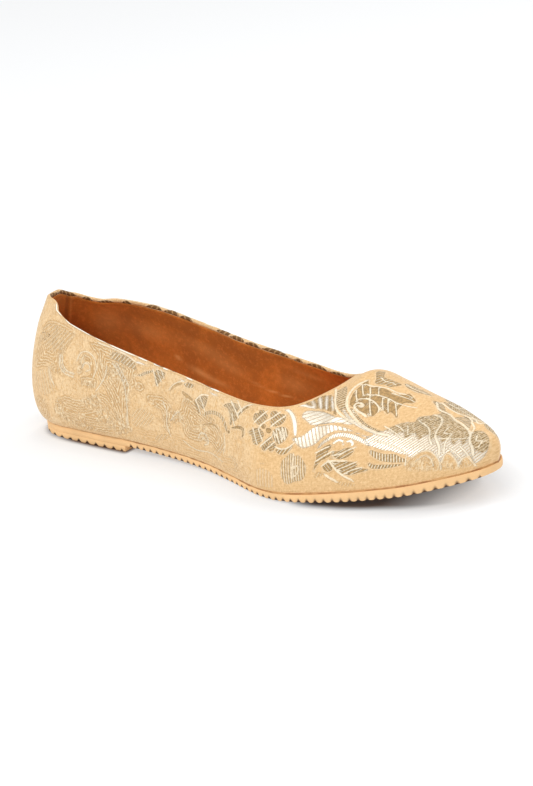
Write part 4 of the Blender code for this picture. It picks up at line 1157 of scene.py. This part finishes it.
def make_brocade(sizes):
    """Outer cloth, its rolled collar edge and the turned-in facing, as one closed sheet. The
    roll is half an ellipse from the cloth over to the lining side. The facing follows the
    inside wall down, and goes straight under the vamp at the throat."""
    w, throat = stations(sizes.grid, 1.8)
    share = np.linspace(0, 1, int(SIDE_UP / sizes.grid) + 1)[:, None]
    levels = np.linspace(0, 1, 10)[:, None]
    down = np.linspace(0, 1, 8)[1:, None]
    tops = {side: wall_top(side, w) for side in SIDES}
    b = Build()
    skins, backs, out, ins, walls = {}, {}, {}, {}, {}
    for side in SIDES:
        q = share * tops[side][None, :]
        at = np.broadcast_to(w, q.shape)
        skin = wall_at(side, w, q)
        skins[side] = b.add(skin, u=at, v=q, **figure_on(side, at, q, tops))
        back = wall_at(side, w, levels * wall_top(side, w, True, BACKING), True, BACKING)
        backs[side] = b.add(back, u=at[:10], v=levels * tops[side], **Drawing.FIELDS)
        out[side] = skin[-1]
        ins[side] = wall_at(side, w, wall_top(side, w, True)[None], True)[0]
        rim, lie = w[:throat + 1], WALL - FACING["recess"]
        walls[side] = wall_at(side, rim, wall_top(side, rim, True, lie) - down * facing_depth(rim), True, lie)
        walls[side] = walls[side].swapaxes(0, 1)

    def ring(pair):
        """Heel to throat on the outer side and back on the inner."""
        return np.concatenate([pair["outer"][:throat + 1], pair["inner"][:throat][::-1]])

    ring_w, out, ins = ring({side: w for side in SIDES}), ring(out), ring(ins)
    mid = (out + ins) / 2
    edge = unit(np.roll(mid, -1, 0) - np.roll(mid, 1, 0))
    across = out - ins
    across = unit(across - edge * (across * edge).sum(-1, keepdims=True))
    up = unit(np.cross(across, edge))
    a = np.linspace(0, np.pi, ROLL["steps"] + 1)[:, None, None]
    roll = mid + (out - ins) / 2 * np.cos(a) + up * ROLL["height"] * np.sin(a)
    depth = facing_depth(ring_w)
    k = ramp(ring_w, THROAT - 11, THROAT - 1)[None, :, None]
    facing = ring(walls).swapaxes(0, 1) * (1 - k) + (ins - up * (down * depth)[..., None]) * k
    over = np.linspace(0, ROLL["girth"], ROLL["steps"] + 1)[:, None] + 0 * ring_w
    run = np.concatenate([over, ROLL["girth"] + down * depth])
    at = np.broadcast_to(ring_w, run.shape)
    d = Drawing(at, run)
    draw_facing(d)
    values = dict(d.fields(), u=at, v=run + FACING["on_map"])
    values = {name: closed(value) for name, value in values.items()}
    band = b.add(closed(np.concatenate([roll, facing])), **values)
    for side in SIDES:
        flip = side == "inner"
        b.skin(skins[side], flip)
        b.skin(backs[side], not flip)
        b.strip(skins[side][0], backs[side][0], not flip)
    b.skin(band)
    b.strip(band[-1], closed(ring({side: back[-1] for side, back in backs.items()}), 0))
    return b.make("brocade_upper", brocade_finish(sizes), node="upper", slot="brocade")


# rubs of the suede, lighter, and darker places, of which the two at the back of the heel (at -43 and -28) are
# painted shade in its corner: along, up, length, width, turn, strength (below 0 is darker)
LINING_MARKS = (
    (24.8, 22.6, 2.2, 1.0, -20, 1.0), (38.4, 17.6, 6.5, 1.5, -12, 0.75), (49.0, 15.0, 7.0, 1.2, -8, 0.5),
    (88.0, 16.0, 9.0, 0.34, -9, 1.0), (74.0, 19.0, 5.0, 0.6, -14, 0.35), (104.0, 28.5, 9.0, 1.5, -14, 0.3),
    (-16.0, 39.0, 9.0, 7.0, 10, 0.35), (8.0, 35.0, 14.0, 5.0, -10, 0.3), (46.0, 30.0, 15.0, 4.0, -12, 0.3),
    (-43.0, 42.0, 4.5, 11.0, 0, -0.5), (66.0, 33.0, 8.0, 3.0, -16, -0.35), (28.0, 40.0, 16.0, 2.0, -14, -0.3),
    (-28.0, 30.0, 5.0, 9.0, 0, -0.4), (96.0, 22.0, 9.0, 4.0, -12, 0.35), (14.0, 24.0, 10.0, 3.0, -14, -0.2),
    (58.0, 24.0, 9.0, 2.5, -10, 0.25))
# the seam is raised and lighter, with a line of painted shade beside it at shade_at
SEAM = dict(at=-35.4, shade_at=-37.4, wide=0.8, raised=0.35)      # the lining's seam, inner side only


def make_lining(sizes):
    """Suede lining: a closed sheet on the inside of the walls, below the facing."""
    w, throat = stations(1.3)
    b = Build()
    depth = np.where(w >= THROAT, 0.0, facing_depth(w) - FACING["lap"])
    share = np.linspace(0, 1, 41)[:, None]
    for side in SIDES:
        flip = side == "inner"
        sheets = []
        for wall in (WALL, WALL - LINING):
            q = share * (wall_top(side, w, True, wall) - depth)[None]
            grid, mark = wall_at(side, w, q, True, wall), np.zeros(q.shape)
            if wall == WALL and flip:
                seam, shade = (np.exp(-((w - SEAM[key]) / SEAM["wide"])**2) for key in ("at", "shade_at"))
                inwards = unit(-grid * np.array([1, 1, 0]))
                grid = grid + inwards * SEAM["raised"] * seam[None, :, None]
                # the seam lighter, with painted shade beside it
                mark = np.broadcast_to(0.3 * seam - shade, q.shape)
                for along_w, up_q, long, wide, turn, strength in LINING_MARKS:
                    mark = mark + strength * spot(w[None] - along_w, q - up_q, long, wide, np.radians(turn))
            sheets.append(b.add(grid, u=np.broadcast_to(w, q.shape), v=q, mark=mark))
        b.skin(sheets[0], not flip)
        b.skin(sheets[1], flip)
        # behind the throat the sheet has a top edge; in front the two sides meet
        b.strip(sheets[0][-1, :throat + 1], sheets[1][-1, :throat + 1], not flip)
        b.strip(sheets[0][0], sheets[1][0], flip)
    return b.make("suede_lining", suede_finish("suede_lining", sizes), slot="suede")


# worn places of the sock: x, y, length, width, turn, height
SOCK_WEAR = (
    (4, -1, 22, 15, 0.0, -0.35), (132, 2, 20, 20, 0.0, -0.3), (104, -8, 1.0954, 11, 0.45, 0.28),
    (66, 6, 1.0954, 8, 0.3, 0.28), (121, 10, 1.0954, 9, -0.4, 0.28))
SOCK = dict(gap=0.4, round=0.9, round_from=1.6, tip=213.0)      # clear of the walls; its rounded edge


def make_sock(sizes):
    """Suede insole: a slab inside the foot line, with a rounded edge, two dents and three
    creases. The plan is ruled between both sides' lines."""
    w = foot_stations(30, 150, 24, SOCK["tip"])
    x = station(w)
    edge = {}
    for side, sign in SIDES.items():
        p = upper_point(side, x, np.zeros_like(w), inside=True)
        a = np.where(x < 0, heel_fan(side, np.minimum(x, 0))[0], np.pi / 2)
        p[:, 0] += SOCK["gap"] * np.cos(a)
        p[:, 1] -= sign * SOCK["gap"] * np.sin(a)
        edge[side] = p
    v = np.linspace(-1, 1, 57)
    v = np.sign(v) * np.sin(np.abs(v) * np.pi / 2)
    k = ((v + 1) / 2)[:, None, None]
    low = edge["outer"][None] * (1 - k) + edge["inner"][None] * k
    x, y = low[..., 0], low[..., 1]
    half = np.abs(edge["inner"][:, 1] - edge["outer"][:, 1]) / 2
    inset = (1 - np.abs(v))[:, None] * half[None]
    round_off = SOCK["round"] * (1 - np.sqrt(1 - (1 - np.clip(inset / SOCK["round_from"], 0, 1))**2))
    wear = sum(high * spot(x - at_x, y - at_y, long, wide, turn)
               for at_x, at_y, long, wide, turn, high in SOCK_WEAR)
    low[..., 2] = foot_line(x)
    top = low.copy()
    top[..., 2] += INSOLE - round_off + wear
    b = Build()
    above, under = b.add(top, u=x, v=y), b.add(low)
    b.skin(above)
    b.skin(under, True)
    for j in (0, -1):
        b.strip(above[j], under[j], j == 0)
    b.strip(above[:, -1], under[:, -1], True)
    return b.make("suede_sock", suede_finish("suede_sock", sizes, 0.12), node="insole", slot="suede")


def plan_runs():
    """Both edges of the outsole from heel to toe, as arrays of x and y, to read y at any x."""
    front = np.concatenate([np.linspace(0, NOSE_FROM, 401)[1:],
                            NOSE_FROM + (TOE_TIP - NOSE_FROM) * slowing(120)[1:]])
    runs = {}
    for side, sign in SIDES.items():
        angle, _, reach = heel_fan(side, station(np.linspace(-HEEL_ARC, 0, 90)))
        xs = np.concatenate([-reach * np.cos(angle), front])
        ys = np.concatenate([sign * reach * np.sin(angle), edge_y(side, front)])
        runs[side] = (np.maximum.accumulate(xs + np.arange(len(xs)) * 1e-9), ys)
    return runs


def groove_at(x, rib):
    """Depth share of the rib grooves: rounded saw teeth, flat on each land."""
    c = np.abs(((x - rib["at"]) / rib["pitch"] + 0.5) % 1.0 - 0.5) * rib["pitch"]
    rise = np.clip((c - rib["land"] / 2) / (rib["pitch"] / 2 - rib["land"] / 2), 0, 1)
    soft = rise**1.15 * (1 - 0.12 * rise**6)
    return soft * ramp(x, rib["start"], rib["start"] + 0.5) * (1 - ramp(x, rib["stop"] - 0.5, rib["stop"]))


def rubber_slab(front, low, high, rib, depth, bulge=0.35):
    """A rubber plate between two side-view curves, cut to the sole's plan from the heel through
    the places in front. Each place has a ring of points: over the underside, up the inner
    side, back over the top and down the outer side. The sides are a little swollen and wavy.
    The grooves are closed just inside the edge and open again further in."""
    runs = plan_runs()
    back = float(max(runs["outer"][0][0], runs["inner"][0][0]))
    xs = np.concatenate([back * np.cos(np.linspace(0, np.pi / 2, 40))[:-1], *front])
    xs = np.unique(np.round(xs, 4))
    groove, top = groove_at(xs, rib), high(xs)
    left, right = np.interp(xs, *runs["outer"]), np.interp(xs, *runs["inner"])
    for end in (0, -1) if xs[-1] > TOE_TIP - 1 else (0,):     # both edges meet at heel and toe
        left[end] = right[end] = (left[end] + right[end]) / 2
    k = np.sin((np.linspace(0, 1, 15) - 0.5) * np.pi) * 0.5 + 0.5
    k = np.concatenate([[0, 0.005], k[1:-1], [0.995, 1]])[:, None]
    rows = np.arange(len(k))
    deep = np.interp(np.minimum(rows, rows[::-1]), (0, 1, 2, 3, 5), (1.0, 0.0, 0.0, 0.25, 0.75))[:, None]
    at_edge = low(xs) + groove * depth(xs)
    levels = np.array([0.0, 0.12, 0.3, 0.5, 0.7, 0.88, 1.0])[:, None]
    swell = bulge * (np.sin(np.pi * np.clip(levels * 0.86 + 0.1, 0, 1)) - 0.3)
    wave = (0.10 * np.sin(xs * 0.9) + 0.07 * np.sin(xs * 2.3 + 1)) * 0.5 * np.sin(np.pi * levels)
    puff = (swell + wave) * np.minimum(1.0, np.maximum((right - left) / 2, 1e-6) / 3.0)
    z = at_edge * (1 - levels) + top * levels
    # painted shade on the sides, darkest low down between the teeth
    dark = groove * (1 - levels)**2 * 0.5
    across = left + (right - left) * k
    # the third value of each part is the painted shade of the grooves
    parts = (       # y, z and how dark
        (across, low(xs) + groove * depth(xs) * deep, groove),
        ((right + puff)[1:], z[1:], dark[1:]),
        (across[::-1][1:-1], top, 0.0),
        ((left - puff)[::-1], z[::-1], dark[::-1]))
    ring = np.concatenate([np.stack(np.broadcast_arrays(xs, y, z), -1) for y, z, _ in parts])
    shade = np.concatenate([np.broadcast_to(shade, y.shape) for y, _, shade in parts])
    b = Build()
    index = b.add(ring, groove=shade)
    b.skin(index, True)
    b.strip(index[-1], index[0], True)
    return b, index


def make_outsole(sizes):
    """Crepe outsole: ribs across the tread from the heel breast to the toe."""
    front = (np.linspace(0, BREAST, 24)[:-1], np.arange(BREAST, TOE_TIP - 6, SOLE_RIB["pitch"] / 11),
             TOE_TIP - 6 * (1 - slowing(26))**1.4)
    shallow = SOLE_RIB["depth"] - SOLE_RIB["toe_depth"]
    b, _ = rubber_slab(front, sole_bottom, sole_top, SOLE_RIB,
                       lambda x: SOLE_RIB["depth"] - shallow * ramp(x, *SOLE_RIB["shallow"]))
    return b.make("crepe_outsole", crepe_finish("crepe_outsole", sizes),
                  node="outsole", slot="crepe", sharp=50)


def make_heel_lift(sizes):
    """Crepe heel lift: a thin slab with wider ribs, and a flat breast fanned from its middle."""
    front = (np.arange(0, BREAST, LIFT_RIB["pitch"] / 14), [BREAST])
    b, index = rubber_slab(front, lambda x: 0 * x, lambda x: 0 * x + LIFT_TOP, LIFT_RIB,
                           lambda x: LIFT_RIB["depth"], 0.2)
    rim = closed(index[:, -1], 0)
    middle = b.points[0].reshape(index.shape + (3,))[:, -1].mean(0)
    b.strip(rim, b.add(np.broadcast_to(middle, (1, len(rim), 3)))[0])
    return b.make("crepe_heel_lift", crepe_finish("crepe_heel_lift", sizes),
                  node="heel_lift", slot="crepe", sharp=50)


def make_cement():
    """Line of cement squeezed out between the upper and the outsole: a flattened tube of
    uneven thickness, carried along the foot line all the way round."""
    w = foot_stations(60, 260, 70, CLOTH_TIP)
    x = station(w)
    sides = {side: upper_point(side, x, np.zeros_like(x)) for side in SIDES}
    loop = np.concatenate([sides["outer"], sides["inner"][-2:0:-1]])
    full = np.concatenate([w, w[-2:0:-1]])
    run = np.roll(loop, -1, 0) - np.roll(loop, 1, 0)
    out = unit(np.cross(run, np.array([0.0, 0, 1]))) * np.array([1, 1, 0])
    thick = 0.42 + 0.22 * ramp(full, 60, 140) + 0.10 * np.sin(full * 0.35) + 0.08 * np.sin(full * 0.93 + 2)
    a = np.linspace(0, 2 * np.pi, 9)[:-1, None, None]
    centre = loop - np.array([0, 0, 0.12]) - out * 0.15
    round_it = out[None] * np.cos(a) + np.array([0.0, 0, 0.8]) * np.sin(a)
    tube = centre[None] + round_it * thick[None, :, None]
    b = Build()
    b.skin(b.add(closed(closed(tube, 0))))
    return b.make("cement_line", cement_finish(), slot="crepe")


# ---- the stage -------------------------------------------------------------
FLOOR = dict(x=(-60, 260), y=(-75, 75), step=1.5, far=3000.0, below=0.2)
# the toe's shadow by x: how far it reaches out from the sole's edge, how soft it is, and its
# greatest darkness
TOE_SHADE = dict(
    middle=((150, 162, 170, 178, 186, 195, 202, 210), (1.0, 1.2, 0.2, -1.8, -4.0, -7.0, -10.5, -18.0)),
    wide=((172, 200), (5.0, 9.0)),
    most=((176, 183, 192, 200, 208), (0.97, 0.85, 0.63, 0.30, 0.05)))
AIM = Vector((0.100, 0.0, 0.025))
# name, aim, direction of its long side, azimuth, elevation, distance, size, power; a long
# strip over the outer side, a broad lamp above and one behind
LAMPS = (
    ("strip", Vector((0.17, 0, 0.03)), Vector((0.83, -0.457, -0.324)), -5, 48, 2.0, (3.4, 0.42), 24.0),
    ("top", AIM, Vector((1, 0, 0)), -40, 80, 1.3, (1.0, 1.0), 3.0),
    ("back", AIM, Vector((1, 0, 0)), 150, 42, 1.3, (1.0, 1.0), 7.0))
CAMERA = dict(azimuth=37.6, elevation=20.8, roll=5.0, distance=1.154, sensor=36.0, lens=115.118,
              shift=(-0.007, 0.014))


def towards(azimuth, elevation):
    """Direction of a lamp or camera from what it looks at; azimuth 0 is the outer side and 90
    the toe."""
    a, e = np.radians(azimuth), np.radians(elevation)
    return Vector((np.sin(a) * np.cos(e), -np.cos(a) * np.cos(e), np.sin(e)))


def put(name, data, place, *axes):
    """An object of the stage at a place, with its three axes."""
    obj = bpy.data.objects.new(name, data)
    obj.matrix_world = Matrix.Translation(place) @ Matrix(axes).transposed().to_4x4()
    bpy.context.scene.collection.objects.link(obj)
    return obj


def make_floor():
    """White floor with a painted shadow, darker where the sole touches or nearly touches: fields that fade
    with the distance outside the sole's edge, under the heel, under the forefoot and faintly around."""
    lines = [np.concatenate([[-FLOOR["far"]], np.arange(*FLOOR[key], FLOOR["step"]), [FLOOR["far"]]])
             for key in ("x", "y")]
    x, y = np.meshgrid(*lines)
    runs = plan_runs()
    beside = np.maximum(np.interp(x, *runs["outer"]) - y, y - np.interp(x, *runs["inner"]))
    ends = np.maximum(runs["outer"][0][0] - x, x - TOE_TIP)
    off = np.where(ends > 0, np.hypot(beside.clip(0), ends), beside)
    heel = np.exp(-(off.clip(0) / 2.3)**2) * (0.6 + 0.4 * ramp(x, -12, 2)) * (1 - ramp(x, BREAST, BREAST + 3))
    middle, wide, most = (np.interp(x, *TOE_SHADE[key]) for key in ("middle", "wide", "most"))
    fore = np.minimum(1 - ramp(off, middle - wide, middle + wide), most) * ramp(x, 132, 150)
    around = 0.13 * np.exp(-(off.clip(0) / 13)**2) * (1 - 0.6 * ramp(x, 195, 222))
    dark = np.maximum(np.maximum(heel, fore), around)
    b = Build()
    b.skin(b.add(np.stack([x, y, 0 * x - FLOOR["below"]], -1), under=dark))
    white = Finish("floor", Roughness=0.9, Emission_Strength=0.47)
    under = white.field("under")
    # the painted shadow is grey, brown close under the sole, and the floor's glow goes out in it
    shade = white.mix(under.step(0.5, 1.0), (0.10, 0.10, 0.12), (0.16, 0.08, 0.04))
    white.feed(Base_Color=white.mix(under, (0.53, 0.54, 0.55), shade),
               Emission_Color=white.mix(under, (1.0, 1.0, 1.0), (0.01, 0.01, 0.01)))
    b.make("floor", white.material, stage=True)


def make_lamps():
    """A bright world and the area lamps."""
    scene = bpy.context.scene
    scene.world = scene.world or bpy.data.worlds.new("world")
    scene.world.use_nodes = True
    background = scene.world.node_tree.nodes["Background"]
    background.inputs[0].default_value = (1, 1, 1, 1)
    background.inputs[1].default_value = 0.50
    for name, aim, run, azimuth, elevation, distance, size, power in LAMPS:
        lamp = bpy.data.lights.new(name, "AREA")
        lamp.shape, lamp.size, lamp.size_y, lamp.energy = "RECTANGLE", *size, power
        way = towards(azimuth, elevation)
        run = (run - way * run.dot(way)).normalized()
        put(name, lamp, aim + way * distance, run, way.cross(run), way)


def make_camera():
    """Camera on the outer side, round towards the toe, and a little rolled."""
    back = towards(CAMERA["azimuth"], CAMERA["elevation"])
    a, roll = np.radians(CAMERA["azimuth"]), np.radians(CAMERA["roll"])
    right = Vector((np.cos(a), np.sin(a), 0))
    up = back.cross(right)
    data = bpy.data.cameras.new("camera")
    data.sensor_width, data.sensor_fit, data.lens = CAMERA["sensor"], "AUTO", CAMERA["lens"]
    data.shift_x, data.shift_y = CAMERA["shift"]
    data.clip_start, data.clip_end = 0.05, 20.0
    bpy.context.scene.camera = put("camera", data, AIM + back * CAMERA["distance"],
                                   right * np.cos(roll) - up * np.sin(roll),
                                   right * np.sin(roll) + up * np.cos(roll), back)
    bpy.context.scene.view_settings.view_transform = "Standard"


# ---- the add-on ------------------------------------------------------------
def colour(name, description, value):
    """A colour that the user may change."""
    return FloatVectorProperty(name=name, description=description, subtype="COLOR", size=3, default=value,
                               min=0, max=1)


class FlatSizes(bpy.types.PropertyGroup):
    """Sizes and colours of the dressed shoe."""
    grid: FloatProperty(name="Cloth grid", description="Spacing of the upper's grid, in millimetres",
                        default=0.55, min=0.5, max=4)
    twill: FloatProperty(name="Ground rib", description="Pitch of the satin ground's ribs, in millimetres",
                         default=1.1, min=0.2)
    ground: colour("Ground", "Colour of the satin ground", (0.83, 0.545, 0.265))
    thread: colour("Thread", "Colour of the shiny metallic thread", (0.95, 0.84, 0.66))
    dull: colour("Dull thread", "Colour of the dull metallic thread", (0.46, 0.285, 0.115))
    suede: colour("Suede", "Colour of the suede lining", (0.62, 0.19, 0.020))
    crepe: colour("Crepe", "Colour of the crepe rubber", (0.97, 0.61, 0.29))


class FLAT_OT_stage(bpy.types.Operator):
    """Set the floor, lamps and camera"""
    bl_idname = "flat.stage"
    bl_label = "Stage"

    def execute(self, context):
        make_floor()
        make_lamps()
        make_camera()
        return {"FINISHED"}


class FLAT_OT_upper(bpy.types.Operator):
    """Make the brocade upper with its rolled collar edge"""
    bl_idname = "flat.upper"
    bl_label = "Brocade upper"

    def execute(self, context):
        make_brocade(context.scene.flat_sizes)
        return {"FINISHED"}


class FLAT_OT_inside(bpy.types.Operator):
    """Make the suede lining and sock"""
    bl_idname = "flat.inside"
    bl_label = "Lining and sock"

    def execute(self, context):
        make_lining(context.scene.flat_sizes)
        make_sock(context.scene.flat_sizes)
        return {"FINISHED"}


class FLAT_OT_sole(bpy.types.Operator):
    """Make the crepe outsole, the heel lift and the cement line"""
    bl_idname = "flat.sole"
    bl_label = "Sole"

    def execute(self, context):
        make_outsole(context.scene.flat_sizes)
        make_heel_lift(context.scene.flat_sizes)
        make_cement()
        return {"FINISHED"}


class FLAT_PT_panel(bpy.types.Panel):
    """Sizes, colours and pieces of the shoe"""
    bl_label = "Brocade ballet flat"
    bl_space_type = "VIEW_3D"
    bl_region_type = "UI"
    bl_category = "Flat"

    def draw(self, context):
        for key in FlatSizes.__annotations__:
            self.layout.prop(context.scene.flat_sizes, key)
        for operator in OPERATORS:
            self.layout.operator(operator.bl_idname)


OPERATORS = (FLAT_OT_stage, FLAT_OT_upper, FLAT_OT_inside, FLAT_OT_sole)


def register():
    for cls in (FlatSizes, *OPERATORS, FLAT_PT_panel):
        bpy.utils.register_class(cls)
    bpy.types.Scene.flat_sizes = PointerProperty(type=FlatSizes)


def unregister():
    del bpy.types.Scene.flat_sizes
    for cls in reversed((FlatSizes, *OPERATORS, FLAT_PT_panel)):
        bpy.utils.unregister_class(cls)


def main():
    register()
    bpy.ops.flat.stage()
    bpy.ops.flat.upper()
    bpy.ops.flat.inside()
    bpy.ops.flat.sole()


if __name__ == "__main__":
    main()
